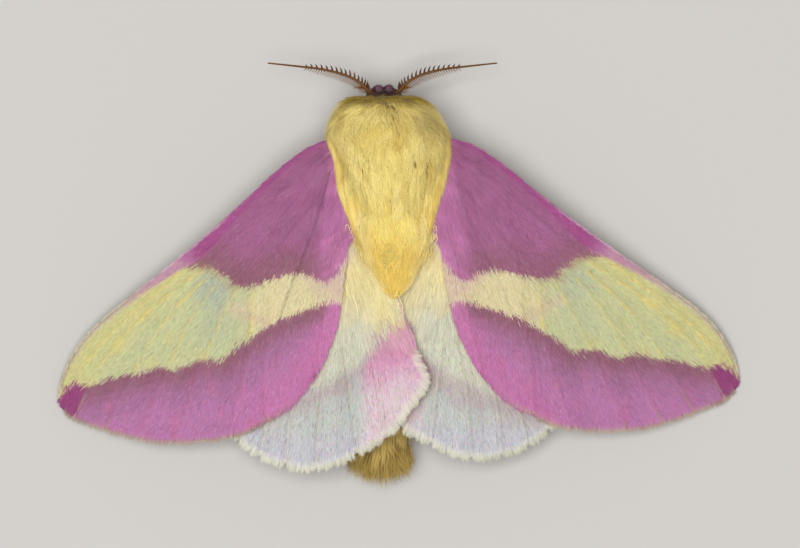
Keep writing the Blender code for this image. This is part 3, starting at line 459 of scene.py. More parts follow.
def hindwing_colours(side, points, rough):
    """A hindwing's markings: cream base, faint mauve line, pearl beyond it, rose at the inner fold, and painted
    shade.
    """
    outward, backward = points[:, 0], points[:, 1]
    vein = nearest_vein(HINDWING_VEINS, points)
    patchy = ripple(points, 1.8, 9)
    line_at = backward - np.interp(outward, *MAUVE_LINE) + 0.25 * patchy + rough
    if side == RIGHT:
        line_at = line_at - RIGHT_LINE_BACK
    colour = blend(paint("cream_deep"), paint("cream"), ramp(backward, 3.2, 4.8))
    colour = blend(colour, paint("cream_green"), ramp(backward + 0.3 * patchy, 4.6, 6.0))
    colour = blend(colour, paint("pearl"), ramp(line_at, -0.7, 0.4))
    colour = blend(colour, paint("lilac"), 0.85 * ramp(backward + 0.1 * np.abs(outward - 1.8), 10.2, 11.8))
    colour = blend(colour, paint("mauve_line"), 0.9 * np.exp(-(line_at / 0.6) ** 2))
    if side == LEFT:
        start = np.interp(outward, *ROSY_START) + 0.25 * patchy + 2.2 * rough
        faded = ramp(backward - start + 0.5 * (outward + 2.0), 1.0, 3.4)
        rosy = blend(paint("blush"), paint("blush_pale"), faded)
        colour = blend(colour, rosy, 0.95 * ramp(backward - start, -0.15, 0.4) * ramp(-outward, 0.2, 1.3))
    else:
        inner = ramp(-outward + 0.3 * patchy, 0.3, 1.6) * ramp(backward, 8.8, 10.2)
        colour = blend(colour, paint("blush_pale"), 0.8 * inner)
        # Painted shadow on the right hindwing beside the edge of the left hindwing that lies over it
        beside = hindwing_plan(RIGHT, points) - np.array(HINDWING_PLACE[LEFT])
        over = np.abs(line_distance(HINDWING_MARGIN[8:] + HINDWING_INNER[::-1][1:], beside))
        colour = blend(colour, paint("overlap_shadow"), 0.5 * np.exp(-(over / 0.32) ** 2) * ramp(backward, 5.0, 8.0))
    drawn = (0.4 + 0.25 * ripple(points, 1.2, 29)) * ramp(backward, 5.5, 8.0)
    colour = blend(colour, paint("hindwing_vein"), np.exp(-(vein / 0.06) ** 2) * np.clip(drawn, 0, 1))
    # Painted shade in a line along each side of every vein, from about halfway back
    shade = np.exp(-((vein - 0.13) / 0.05) ** 2) * ramp(backward, 6.0, 8.5)
    return blend(colour, colour * 0.88, 0.4 * shade)


def deselect():
    bpy.ops.object.select_all(action="DESELECT")


def pick(obj):
    """Makes obj the only selected and the active object."""
    deselect()
    obj.select_set(True)
    bpy.context.view_layer.objects.active = obj
    return obj


def tint(obj, colours):
    """Stores a colour for each point of obj, as it looks, under the name that the materials read."""
    layer = obj.data.color_attributes.new("tint", "FLOAT_COLOR", "POINT")
    solid = np.hstack([linear(colours), np.ones((len(colours), 1))])
    layer.data.foreach_set("color", solid.astype(np.float32).ravel())


def points_of(obj):
    """The places of obj's vertices, in millimetres."""
    flat = np.empty(len(obj.data.vertices) * 3)
    obj.data.vertices.foreach_get("co", flat)
    return flat.reshape(-1, 3) / MM


def move_points(obj, points):
    """Puts obj's vertices at places in millimetres."""
    obj.data.vertices.foreach_set("co", (np.asarray(points) * MM).astype(np.float32).ravel())
    obj.data.update()


def finish_piece(obj, material, replaced=()):
    """Sets a piece's finish, its body and the solids that it stands for."""
    obj.data.materials.clear()
    obj.data.materials.append(material)
    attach(obj, "root")
    if replaced:
        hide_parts(*replaced)
    return obj


def apply_modifier(obj, kind, **settings):
    """Adds a modifier with its settings and applies it."""
    pick(obj)
    modifier = obj.modifiers.new(kind, kind)
    for name, value in settings.items():
        setattr(modifier, name, value)
    bpy.ops.object.modifier_apply(modifier=modifier.name)


SCALE = [(1, 0, 2), (0, 3, 2), (3, 1, 2), (0, 1, 3)]  # a scale's left and right root, its tip and its crest


PATCH_RADIUS = 0.0015  # of each tuft's patch on the unwrap


def hair_faces(rings):
    """The faces of a three-sided hair of so many rings, closed at its root and running to a tip."""
    faces = [(0, 1, 2)]
    for r in range(rings - 1):
        for i in range(3):
            a, b = r * 3 + i, r * 3 + (i + 1) % 3
            faces.append((b, a, a + 3, b + 3))
    last = (rings - 1) * 3
    return faces + [(last + (i + 1) % 3, last + i, last + 3) for i in range(3)]


def enclosed(tufts, faces):
    """What each copy of a closed form encloses, which is below nothing where its faces point inwards."""
    local = tufts - tufts[:, :1]
    total = np.zeros(len(tufts))
    for face in faces:
        for b, c in zip(face[1:], face[2:]):
            total += (local[:, face[0]] * np.cross(local[:, b], local[:, c])).sum(1)
    return total


def joined_mesh(name, tufts, faces, colours, roots):
    """Many copies of one small closed form in one mesh. Each keeps its patch on the skin's unwrap."""
    count, size = tufts.shape[:2]
    corners = np.concatenate([np.array(face) for face in faces])
    flipped = np.concatenate([np.array(face[::-1]) for face in faces])
    lengths = np.array([len(face) for face in faces])
    inward = enclosed(tufts, faces)[:, None] < 0
    offsets = np.arange(count)[:, None] * size
    loops = (np.where(inward, flipped, corners) + offsets).ravel()
    totals = np.tile(lengths, count)
    mesh = bpy.data.meshes.new(name)
    mesh.vertices.add(count * size)
    mesh.vertices.foreach_set("co", (tufts.reshape(-1, 3) * MM).astype(np.float32).ravel())
    mesh.loops.add(len(loops))
    mesh.loops.foreach_set("vertex_index", loops.astype(np.int32))
    mesh.polygons.add(len(totals))
    mesh.polygons.foreach_set("loop_start", np.concatenate([[0], np.cumsum(totals)[:-1]]).astype(np.int32))
    mesh.update(calc_edges=True)
    mesh.shade_flat()
    obj = bpy.data.objects.new(name, mesh)
    bpy.context.scene.collection.objects.link(obj)
    tint(obj, colours.reshape(-1, 3))
    angle = 2 * np.pi * np.arange(size) / size
    spread = np.stack([np.cos(angle), np.sin(angle)], -1) * PATCH_RADIUS
    places = (roots[:, None, :] + spread[None]).reshape(-1, 2)
    unwrap = mesh.uv_layers.new(name="OFBake")
    unwrap.data.foreach_set("uv", places[loops].astype(np.float32).ravel())
    return obj


def hair_rings(path, outward, widths, thickness):
    """The rings and tips of hairs that follow paths: flat three-sided sections that narrow to the tip."""
    along = np.gradient(path, axis=1)
    along /= np.maximum(np.linalg.norm(along, axis=-1, keepdims=True), 1e-9)
    sideways = np.cross(along, outward)
    sideways /= np.maximum(np.linalg.norm(sideways, axis=-1, keepdims=True), 1e-9)
    rise = np.cross(sideways, along)
    half = widths[..., None] / 2
    rings = np.stack([path - sideways * half, path + rise * half * thickness, path + sideways * half], 2)
    body = rings[:, :-1].reshape(len(path), -1, 3)
    return np.concatenate([body, path[:, -1:]], 1)


def hair_colours(root, tip, rings, power=1.0):
    """Each hair's colours from its root to its tip."""
    shares = (np.repeat(np.arange(rings), 3) / rings) ** power
    shares = np.append(shares, 1.0)[None, :, None]
    return root[:, None] * (1 - shares) + tip[:, None] * shares


# What sets each wing apart. Bare is how far short of its edge the membrane and scales end, fringe is how far
# the fringe is rooted inside the edge and reaches beyond it, and pale is where along the wing it turns pale.
WINGS = {
    "forewing": {"sheet": forewing_sheet, "plan": forewing_plan, "height": forewing_height,
                 "colours": forewing_colours, "fan": FAN_POINT, "slot": "forewing_scales",
                 "margin": OUTER_MARGIN, "veins": FOREWING_VEINS, "extent": 21.0,
                 "edge": OUTER_MARGIN + [(10.6, 8.7), (8.75, 8.45)], "bare": 0.22, "fringe": (0.46, 0.2),
                 "tooth": 0.12, "notch": 0.2, "ragged": 0.14, "pale": (9.5, 12.5), "fade": (0.0, 0.12),
                 "fringe_crest": 0.5, "flecks": 0.012, "grain": 0.02},
    "hindwing": {"sheet": hindwing_sheet, "plan": hindwing_plan, "height": hindwing_height,
                 "colours": hindwing_colours, "fan": HINDWING_FAN, "slot": "hindwing_scales",
                 "margin": HINDWING_FREE_EDGE, "veins": HINDWING_VEINS, "extent": 14.0,
                 "edge": HINDWING_FREE_EDGE, "bare": 0.36,
                 "fringe": (0.62, 0.16), "tooth": 0.13, "notch": 0.3, "ragged": 0.2, "pale": (-9.0, -8.0),
                 "fade": (0.3, 0.8), "fringe_crest": 0.4, "flecks": 0.03, "grain": 0.03},
}
MEMBRANE_THICKNESS = 0.05


def wing_unwrap(wing, points, under=False):
    """A wing's own plane laid out on the unwrap, with the underside beside the upper one."""
    extent = WINGS[wing]["extent"]
    u = 0.03 + 0.44 * (points[..., 0] + 5) / (extent + 5) + (0.5 if under else 0)
    v = 0.05 + 0.9 * (points[..., 1] + 2.0) / (extent + 2.0)
    return np.stack([u, v], -1)


def wing_membrane(wing, side, word, material):
    """The thin wing under its scales, a grid drawn out to the wing's outline."""
    form = WINGS[wing]
    columns, rows = 110, 66
    deselect()
    bpy.ops.mesh.primitive_grid_add(x_subdivisions=columns, y_subdivisions=rows, size=2)
    obj = bpy.context.object
    obj.name = wing + "_" + word
    flat = points_of(obj) * MM
    u, v = (flat[:, 0] + 1) / 2, (flat[:, 1] + 1) / 2
    own = form["sheet"](u * fringe_share(wing), v)
    plan = form["plan"](side, own)
    move_points(obj, np.column_stack([plan, form["height"](side, own)]))
    bm = bmesh.new()
    bm.from_mesh(obj.data)
    bmesh.ops.recalc_face_normals(bm, faces=bm.faces)
    if sum(face.normal.z for face in bm.faces) < 0:
        bmesh.ops.reverse_faces(bm, faces=bm.faces)
    bm.to_mesh(obj.data)
    bm.free()
    store = obj.data.attributes.new("own", "FLOAT_VECTOR", "POINT")
    store.data.foreach_set("vector", np.column_stack([own, np.zeros(len(own))]).astype(np.float32).ravel())
    apply_modifier(obj, "SOLIDIFY", thickness=MEMBRANE_THICKNESS * MM, offset=0.0, use_even_offset=False)
    own = np.empty(len(obj.data.vertices) * 3)
    obj.data.attributes["own"].data.foreach_get("vector", own)
    own = own.reshape(-1, 3)[:, :2]
    tint(obj, form["colours"](side, own, 0.0) * 0.93)
    obj.data.attributes.remove(obj.data.attributes["own"])
    obj.data.shade_smooth()
    return finish_piece(obj, material, (wing + "_" + word,))


def fringe_share(wing):
    """The share of a wing's length that its membrane covers, short of the fringe."""
    return 1 - WINGS[wing]["bare"] / WINGS[wing]["extent"]


def scatter(wing, count, draw):
    """Points spread evenly over a wing's own plane."""
    sheet = WINGS[wing]["sheet"]
    u, v = draw.random(count * 4), draw.random(count * 4)
    step = 1e-3
    here = sheet(u, v)
    du, dv = sheet(u + step, v) - here, sheet(u, v + step) - here
    area = np.abs(du[:, 0] * dv[:, 1] - du[:, 1] * dv[:, 0])
    keep = draw.random(len(u)) * np.quantile(area, 0.995) < area
    return sheet(u[keep][:count] * fringe_share(wing), v[keep][:count])


def fan_direction(wing, points):
    """Which way the scales lie: out from the wing's root, and along the costa beside it."""
    away = points - np.array(WINGS[wing]["fan"])
    away /= np.linalg.norm(away, axis=1, keepdims=True)
    if wing == "hindwing":
        return away
    along, across = np.array(COSTA).T
    slope = np.interp(points[:, 0], (along[1:] + along[:-1]) / 2, np.diff(across) / np.diff(along))
    edge = np.column_stack([np.ones(len(points)), np.clip(slope + 0.05, -0.3, 0.6)])
    edge /= np.linalg.norm(edge, axis=1, keepdims=True)
    away = blend(edge, away, ramp(points[:, 1] - np.interp(points[:, 0], along, across), 0.1, 1.6))
    return away / np.linalg.norm(away, axis=1, keepdims=True)


def turned(direction, angle):
    """Directions in the plane turned by angles."""
    c, s = np.cos(angle), np.sin(angle)
    x, y = direction.T
    return np.stack([x * c - y * s, x * s + y * c], -1)


def lay_scales(wing, side, roots, direction, size, lift, colours, name, under=False, crest=0.3):
    """Flat pointed scales lying on a wing, each closed, with a low ridge and its tip a little raised."""
    form = WINGS[wing]
    length, width = size
    across = np.stack([-direction[:, 1], direction[:, 0]], -1) * (width / 2)[:, None]
    flat = np.stack([roots + across, roots - across, roots + direction * length[:, None],
                     roots + direction * (length * crest)[:, None]], 1)
    plan = form["plan"](side, flat)
    if wing == "hindwing" and side == RIGHT:
        plan[..., 0] = HINDWING_PLACE[RIGHT][0] - flat[..., 0]
    face = -1 if under else 1
    sunk = np.maximum(0.004 + 0.5 * lift, 0.001)
    raised = np.stack([0 * lift, 0 * lift, lift, crest * lift + 0.0045], -1) + sunk[:, None]
    height = form["height"](side, flat) + face * (raised + MEMBRANE_THICKNESS / 2)
    tufts = np.concatenate([plan, height[..., None]], -1)
    return joined_mesh(name, tufts, SCALE, np.clip(colours, 0, 1), wing_unwrap(wing, roots, under))


def wing_scales(wing, side, word, count, material, under=False):
    """The dusting of fine scales over a wing: hair-like near the body and short towards the margin."""
    form = WINGS[wing]
    draw = np.random.default_rng(40 + side + 3 * under + (7 if wing == "hindwing" else 0))
    roots = scatter(wing, count, draw)
    if wing == "hindwing" and side == RIGHT:
        roots = roots[roots[:, 0] > TUCK - 0.1]
    room = np.abs(line_distance(form["margin"], roots)) - form["bare"] + 0.04
    roots, room = roots[room > 0.08], room[room > 0.08]
    number = len(roots)
    direction = turned(fan_direction(wing, roots), draw.normal(0, 0.09, number) + 0.1 * ripple(roots, 1.6, 3))
    reach = np.linalg.norm(roots - np.array(form["fan"]), axis=1)
    near = 1 - ramp(reach, 3.0, 9.0)
    length = np.minimum((0.29 + 0.6 * near) * draw.uniform(0.75, 1.25, number), room)
    width = (0.064 - 0.014 * near) * draw.uniform(0.8, 1.2, number)
    lift = draw.uniform(0.006, 0.022, number) + 0.02 * near
    rough = draw.normal(0, 0.1, number)
    own = form["colours"](side, roots + direction * (length * 0.5)[:, None], rough)
    own = own * draw.normal(1.0, 0.03, (number, 1)) * draw.normal(1.0, form["grain"], (number, 3))
    pale = draw.random(number) < 0.06
    own[pale] = blend(own[pale], np.ones(3), np.full(pale.sum(), 0.1))
    fleck = draw.random(number) < form["flecks"] * (1 + ramp(ripple(roots, 1.1, 23), 0.4, 1.4))
    own[fleck] = blend(own[fleck], paint("speck"), np.full(fleck.sum(), 0.3))
    shade = np.array([0.96, 0.96, 1.02, 1.0])[None, :, None]
    name = wing + "_" + word + ("_under_scales" if under else "_scales")
    obj = lay_scales(wing, side, roots, direction, (length, width), lift, own[:, None] * shade, name, under)
    return finish_piece(obj, material)


def along_line(line, place):
    """Points and directions at shares of the way along a line."""
    line = even_curve(line, 500)
    shares = np.linspace(0, 1, 500)
    at = np.stack([np.interp(place, shares, line[:, i]) for i in range(2)], -1)
    run = np.stack([np.interp(place, (shares[1:] + shares[:-1]) / 2, np.diff(line, axis=0)[:, i])
                    for i in range(2)], -1)
    return at, run / np.linalg.norm(run, axis=1, keepdims=True)


def wing_fringe(wing, side, word, count, material):
    """The fringe along the outer margin: fine hairs in teeth, with a notch where each vein ends."""
    form = WINGS[wing]
    draw = np.random.default_rng(70 + side + (5 if wing == "hindwing" else 0))
    teeth = int(np.linalg.norm(np.diff(np.array(form["edge"]), axis=0), axis=1).sum() / form["tooth"])
    which = draw.integers(0, teeth, count)
    tooth = (which + 0.5 + draw.normal(0, 0.2, teeth)[which]) / teeth
    at, run = along_line(form["edge"], np.clip(tooth + draw.normal(0, 0.33 / teeth, count), 0, 1))
    gathered = along_line(form["edge"], np.clip(tooth, 0, 1))[0]
    out = np.stack([run[:, 1], -run[:, 0]], -1)
    away = out * 0.75 + fan_direction(wing, at) * 0.4
    away /= np.linalg.norm(away, axis=1, keepdims=True)
    ends = [curve_at(vein, np.array([1.0]))[0] for vein in form["veins"].values()]
    notch = 1 - ramp(np.min([np.linalg.norm(at - end, axis=1) for end in ends], axis=0), 0.05, 0.2)
    inset, beyond = form["fringe"]
    ragged = form["ragged"] * draw.random(teeth)[which] + 0.14 * draw.random(count)
    tip = beyond - ragged - form["notch"] * notch
    tips = at + (gathered - at) * 0.35 + away * tip[:, None] + run * draw.normal(0, 0.04, (count, 1))
    roots = at - away * (inset * draw.uniform(0.75, 1.0, count))[:, None]
    direction = tips - roots
    length = np.linalg.norm(direction, axis=1)
    direction /= length[:, None]
    if wing == "hindwing" and side == RIGHT:
        keep = np.minimum(roots[:, 0], tips[:, 0]) > TUCK + 0.05
        roots, direction, length = roots[keep], direction[keep], length[keep]
    number = len(roots)
    own = form["colours"](side, roots, np.zeros(number)) * draw.normal(1.0, 0.04, (number, 1))
    pale = blend(own, paint("fringe_" + wing), ramp(roots[:, 0], *form["pale"]))
    pale = pale * draw.normal(1.0, 0.05, (number, 1))
    at_root, at_crest = form["fade"]
    root_colour, crest_colour = [blend(own, pale, np.full(number, share)) for share in (at_root, at_crest)]
    colours = np.stack([root_colour, root_colour, pale, crest_colour], 1)
    obj = lay_scales(wing, side, roots, direction, (length, draw.uniform(0.024, 0.038, number)),
                     draw.uniform(-0.01, 0.03, number), colours, wing + "_" + word + "_fringe",
                     crest=form["fringe_crest"])
    return finish_piece(obj, material)


def base_hairs(side, word, count, material):
    """The long silky hairs that flow back over a hindwing from its base."""
    draw = np.random.default_rng(90 + side)
    tufts = count // 14
    inside = hindwing_sheet(draw.random(tufts * 12), draw.random(tufts * 12))
    centre = inside[(inside[:, 1] < 6.0) & (inside[:, 0] > (-9 if side == LEFT else TUCK))][:tufts]
    tufts = len(centre)
    which = draw.integers(0, tufts, count)
    roots = centre[which] + draw.normal(0, 0.15, (count, 2)) - np.array([0, 0.35])
    flow = centre - np.array(HAIR_FAN)
    flow /= np.linalg.norm(flow, axis=1, keepdims=True)
    direction = turned(flow[which], (0.1 * ripple(centre, 1.8, 13))[which] + draw.normal(0, 0.035, count))
    length = draw.uniform(1.5, 2.4, count) * (1.05 - 0.09 * np.maximum(roots[:, 1], 0))
    shares = np.array([0, 0.33, 0.67, 1.0])
    flat = roots[:, None] + direction[:, None] * (length[:, None] * shares[None])[..., None]
    goal = centre[which] + flow[which] * length[:, None]
    flat = flat + (goal - flat[:, -1])[:, None] * (0.45 * shares ** 1.5)[None, :, None]
    sway = draw.normal(0, 0.05, tufts)[which][:, None]
    flat[..., 0] += sway * np.sin(shares * 4.5 + draw.uniform(0, 6, tufts)[which][:, None])
    inner_edge = np.array(HINDWING_INNER).T[::-1]
    edge = np.interp(flat[:, 3, 1], *inner_edge) if side == LEFT else TUCK - 0.4
    inner = flat[:, 3, 0] > edge - draw.uniform(-0.1, 0.15, count)
    flat, roots, length, which = flat[inner], roots[inner], length[inner], which[inner]
    count = len(flat)
    x, y = HINDWING_PLACE[side]
    plan = np.stack([x + side * flat[..., 0], y + flat[..., 1]], -1)
    rise = np.array([-0.02, 0.06, 0.06, 0.015])[None] * draw.uniform(0.4, 1.6, (count, 1))
    path = np.concatenate([plan, (hindwing_height(side, flat) + rise + MEMBRANE_THICKNESS)[..., None]], -1)
    width = draw.uniform(0.03, 0.05, count)[:, None] * np.array([0.8, 1.0, 0.8, 0.3])[None]
    points = hair_rings(path, np.array([0.0, 0.0, 1.0]), width, 0.3)
    own = hindwing_colours(side, flat[:, 2], draw.normal(0, 0.15, count))
    silk = blend(own, paint("cream"), np.full(count, 0.15))
    outward, backward = flat[:, 1].T
    deep = np.exp(-((outward + 0.42 * backward - 0.05) / 0.75) ** 2) * ramp(-backward, -5.6, -4.2)
    # On the right hindwing the deep cream is painted shade in the hollow between the two hindwings
    silk = blend(silk, paint("cream_deep" if side == LEFT else "cream_painted_shade"), 0.85 * deep)
    edge = ramp(roots[:, 0] - 0.5 * roots[:, 1], -0.4, 0.2) * ramp(-roots[:, 1], -2.4, -0.8)
    silk = blend(silk, paint("blush_pale"), 0.6 * edge)
    silk = silk * draw.normal(1.0, 0.03, tufts)[which][:, None] * draw.normal(1.0, 0.03, (count, 1))
    # The roots a little darker: painted shade low in the hair
    colours = np.clip(hair_colours(silk * 0.95, silk * 1.02, 3), 0, 1)
    obj = joined_mesh("hindwing_" + word + "_hairs", points, hair_faces(3), colours,
                      wing_unwrap("hindwing", roots))
    return finish_piece(obj, material)


def part_length(part):
    return np.linalg.norm(np.diff(np.array(part["coat"]), axis=0), axis=1).sum()


def body_unwrap(s, around):
    """A body part unrolled: its length up the sheet, and the way round it across the sheet."""
    return np.stack([0.03 + 0.94 * ((around / (2 * np.pi) + 0.25) % 1), 0.03 + 0.94 * np.clip(s, 0, 1)], -1)


def over_wings(path, shares, upper, loft):
    """Hairs of the back kept above the forewings that they cross, and those of the flanks below them."""
    x, y, z = path[..., 0], path[..., 1], path[..., 2]
    out = np.abs(x - middle(y))
    beside = ramp(y, -7.9, -6.9) * ramp(out, 0.9, 1.7) * ramp(shares, 0.0, 0.3)
    wing = roof(x, y) + FOREWING_LIFT
    if upper:
        clear = np.maximum(z, wing + 0.06 + loft + 0.06 * shares)
    else:
        clear = np.minimum(z, wing - 0.15 - 0.6 * ramp(y, -4.6, -3.6))
    path[..., 2] = z + (clear - z) * beside


def slim_flank(path):
    """Draws the coat in a little beside the left forewing's base."""
    out = path[..., 0] - middle(path[..., 1])
    drawn = 0.13 * np.exp(-((path[..., 1] + 5.9) / 1.15) ** 2) * ramp(out, 1.6, 3.0)
    path[..., 0] -= drawn * out


def grow_coat(name, part, count, clump_size, length, width, colour_of, seed, rows, top, turns, wings, rings=3):
    """A coat of fine hairs in soft, gently waved locks that lie back along a body part. Rows are where they are
    rooted from front to rear, turns are where around the part, and top is how high the locks stand. Wings is
    true above the forewings, false below them and None where there are none."""
    draw = np.random.default_rng(seed)
    s_try = draw.uniform(*rows, count)
    half = np.maximum(curve_at(part["coat"], s_try)[:, 1], 0.5)
    keep = draw.random(len(s_try)) * half.max() < half
    s_clump = s_try[keep][:max(4, count // clump_size)]
    clumps = len(s_clump)
    turn_clump = draw.uniform(*turns, clumps)
    which = draw.integers(0, clumps, count)
    total = part_length(part)
    girth = np.maximum(curve_at(part["coat"], s_clump)[:, 1], 0.5)[which]
    spread = 0.19 * draw.normal(0, 1, (2, count))
    s_root = np.abs(s_clump[which] + spread[0] / total)
    turn_root = turn_clump[which] + spread[1] / girth
    reach = length * draw.uniform(0.72, 1.15, count) * draw.uniform(0.85, 1.15, clumps)[which] / total
    lean = draw.normal(0, 0.05, clumps)
    lean = lean + 0.16 * ripple(np.column_stack([s_clump * total, turn_clump * 2.5]), 3.0, seed + 1)
    wave = draw.normal(0, 0.035, clumps)[which] + draw.normal(0, 0.006, count)
    phase = draw.uniform(0, 2 * math.pi, clumps)[which] + draw.normal(0, 0.25, count)
    height = draw.uniform(*top, clumps)[which] + draw.normal(0, 0.03, count)
    shares = np.linspace(0, 1, rings + 1)[None]
    gather = 0.45 * shares ** 1.3
    s = s_root[:, None] * (1 - gather) + s_clump[which][:, None] * gather + reach[:, None] * shares
    around = turn_root[:, None] * (1 - gather) + turn_clump[which][:, None] * gather
    around = around + lean[which][:, None] * shares + wave[:, None] * np.sin(shares * 6 + phase[:, None])
    path = body_places(part, s, around, -0.15 + (height[:, None] + 0.15) * shares ** 0.55)
    if wings is not None:
        slim_flank(path)
        over_wings(path, shares, wings, draw.uniform(0, 0.14, clumps)[which][:, None])
    centre = np.stack([middle(path[..., 1]), path[..., 1], table_at(part["height"], path[..., 1])], -1)
    outward = path - centre
    outward /= np.maximum(np.linalg.norm(outward, axis=-1, keepdims=True), 1e-6)
    widths = width * draw.uniform(0.75, 1.25, count)[:, None] * (1 - 0.75 * shares ** 2)
    tufts = hair_rings(path, outward, widths, 0.4)
    root_colour, tip_colour = colour_of(path[:, 0], path[:, -1], draw.random(clumps)[which], draw)
    colours = np.clip(hair_colours(root_colour, tip_colour, rings, 0.7), 0, 1)
    kept = clear_of_eyes(path) | (part is not HEAD)
    unwrap = body_unwrap(s_root, turn_root)
    return joined_mesh(name, tufts[kept], hair_faces(rings), colours[kept], unwrap[kept])


def back_unwrap(y, off):
    """Places on the unwrap for hair of the back, by y and by how far it is rooted from the middle."""
    return body_unwrap((y + 9.4) / 20.6, math.pi / 2 - off)


# The golden wool's half width by y, and the middle and radius of its round swirl
PLUME = ([-4.4, -3.2, -2.2, -0.9, 0.2, 0.8, 1.3], [1.5, 1.75, 1.85, 1.5, 1.0, 0.6, 0.2])
WHORL, WHORL_REACH = (0.6, -1.04), 0.52


def plume_top(x, y):
    """The height of the golden wool behind the thorax, over the wings' bases."""
    under = roof(x, y) + HINDWING_LIFT + OVERLAP_LIFT * fold_share(x, y)
    under = np.maximum(under, roof(x, y) + FOREWING_LIFT * ramp(np.abs(x - middle(y)), 1.2, 1.7))
    off = (x - middle(y)) / np.maximum(np.interp(y, *PLUME), 0.05)
    crown = (0.04 + 0.78 * (1 - ramp(y, -3.0, 0.9))) * np.sqrt(np.clip(1 - 0.95 * off * off, 0, 1))
    return under + 0.02 + crown


def plume(count, material):
    """The golden wool that runs from the thorax over the base of the hindwings to a point."""
    draw = np.random.default_rng(15)
    clumps = count // 24
    y_clump, f_clump = draw.uniform(-4.3, 0.1, clumps), draw.uniform(-1.0, 1.0, clumps)
    which = draw.integers(0, clumps, count)
    y_root = y_clump[which] + draw.normal(0, 0.16, count)
    f_root = f_clump[which] + draw.normal(0, 0.1, count)
    shares = np.linspace(0, 1, 4)[None]
    y = y_root[:, None] + draw.uniform(1.0, 1.6, count)[:, None] * shares
    y = np.minimum(y, 1.2 + draw.uniform(-0.5, 0.1, count)[:, None] * shares)
    f = f_root[:, None] + (f_clump[which] - f_root)[:, None] * 0.6 * shares
    wave = draw.normal(0, 0.07, clumps)[which][:, None]
    f = f + wave * np.sin(shares * 5 + draw.uniform(0, 6, clumps)[which][:, None])
    flare = draw.uniform(0.82, 1.12, count)[:, None] * (1 + 0.12 * np.abs(f) ** 3 * shares ** 2)
    x = middle(y) + f * np.interp(y, *PLUME) * flare
    away = np.stack([x - WHORL[0], y - WHORL[1]], -1)
    apart = np.linalg.norm(away, axis=-1)
    push = 1 + 0.35 * np.exp(-(apart / WHORL_REACH) ** 2) / np.maximum(apart, 0.1)
    x, y = WHORL[0] + away[..., 0] * push, WHORL[1] + away[..., 1] * push
    z = plume_top(x, y) - 0.3 * (1 - shares) ** 2 + draw.uniform(-0.03, 0.09, count)[:, None] * shares
    path = np.stack([x, y, z], -1)
    widths = draw.uniform(0.04, 0.065, count)[:, None] * (1 - 0.75 * shares ** 2)
    points = hair_rings(path, np.array([0.0, 0.0, 1.0]), widths, 0.5)
    lock = draw.random(clumps)[which]
    colour = blend(paint("wool"), paint("wool_gold"), 0.9 * ramp(path[:, -1, 1], -3.2, 0.4))
    colour = blend(colour, paint("wool_pale"), 0.35 * ramp(lock, 0.5, 1.0))
    colour = colour * draw.normal(1.0, 0.04, (count, 1))
    colour = blend(colour, paint("cream_deep"), 0.7 * ramp(np.abs(f[:, -1]), 0.55, 1.0))
    # The roots take some painted root shade
    colours = hair_colours(blend(colour, paint("wool_root_shade"), np.full(count, 0.3)), colour * 1.02, 3, 0.7)
    obj = joined_mesh("plume", points, hair_faces(3), np.clip(colours, 0, 1),
                      back_unwrap(y_root, f_root))
    return finish_piece(obj, material)


def whorl(count, material):
    """The small round swirl of hair on the golden wool, where the lie turns about a point."""
    draw = np.random.default_rng(18)
    start = draw.uniform(0, 2 * math.pi, count)
    radius = WHORL_REACH * np.sqrt(draw.uniform(0.03, 1.0, count))
    shares = np.linspace(0, 1, 5)[None]
    turn = start[:, None] + (draw.uniform(0.3, 0.6, count) / np.maximum(radius, 0.16))[:, None] * shares
    reach = radius[:, None] * (1 + draw.uniform(-0.45, 0.2, count)[:, None] * shares)
    x, y = WHORL[0] + reach * np.cos(turn), WHORL[1] + reach * np.sin(turn)
    swell = 0.05 * np.exp(-((reach - 0.3) / 0.14) ** 2)
    z = plume_top(x, y) + 0.03 + swell - 0.16 * (1 - shares) ** 2 * (radius > 0.3)[:, None]
    path = np.stack([x, y, z + draw.uniform(-0.02, 0.05, count)[:, None]], -1)
    widths = draw.uniform(0.035, 0.055, count)[:, None] * (1 - 0.7 * shares ** 2)
    points = hair_rings(path, np.array([0.0, 0.0, 1.0]), widths, 0.5)
    ring = np.exp(-((radius - 0.36) / 0.07) ** 2) + 0.3 * np.exp(-(radius / 0.1) ** 2)
    colour = blend(paint("wool"), paint("wool_gold"), np.full(count, 0.6))
    # Painted shade: the ring and the middle of the swirl take a little of the root shade, and the roots are
    # darker
    colour = blend(colour, paint("wool_root_shade"), 0.2 * ring) * draw.normal(1.0, 0.05, (count, 1))
    colours = np.clip(hair_colours(colour * 0.9, colour, 4), 0, 1)
    place = back_unwrap(y[:, 0], (x[:, 0] - WHORL[0]) / 1.5)
    obj = joined_mesh("whorl", points, hair_faces(4), colours, place)
    return finish_piece(obj, material)


BRUSH_PIVOT, BRUSH_REACH = (0.98, 7.5, 2.35), 3.55


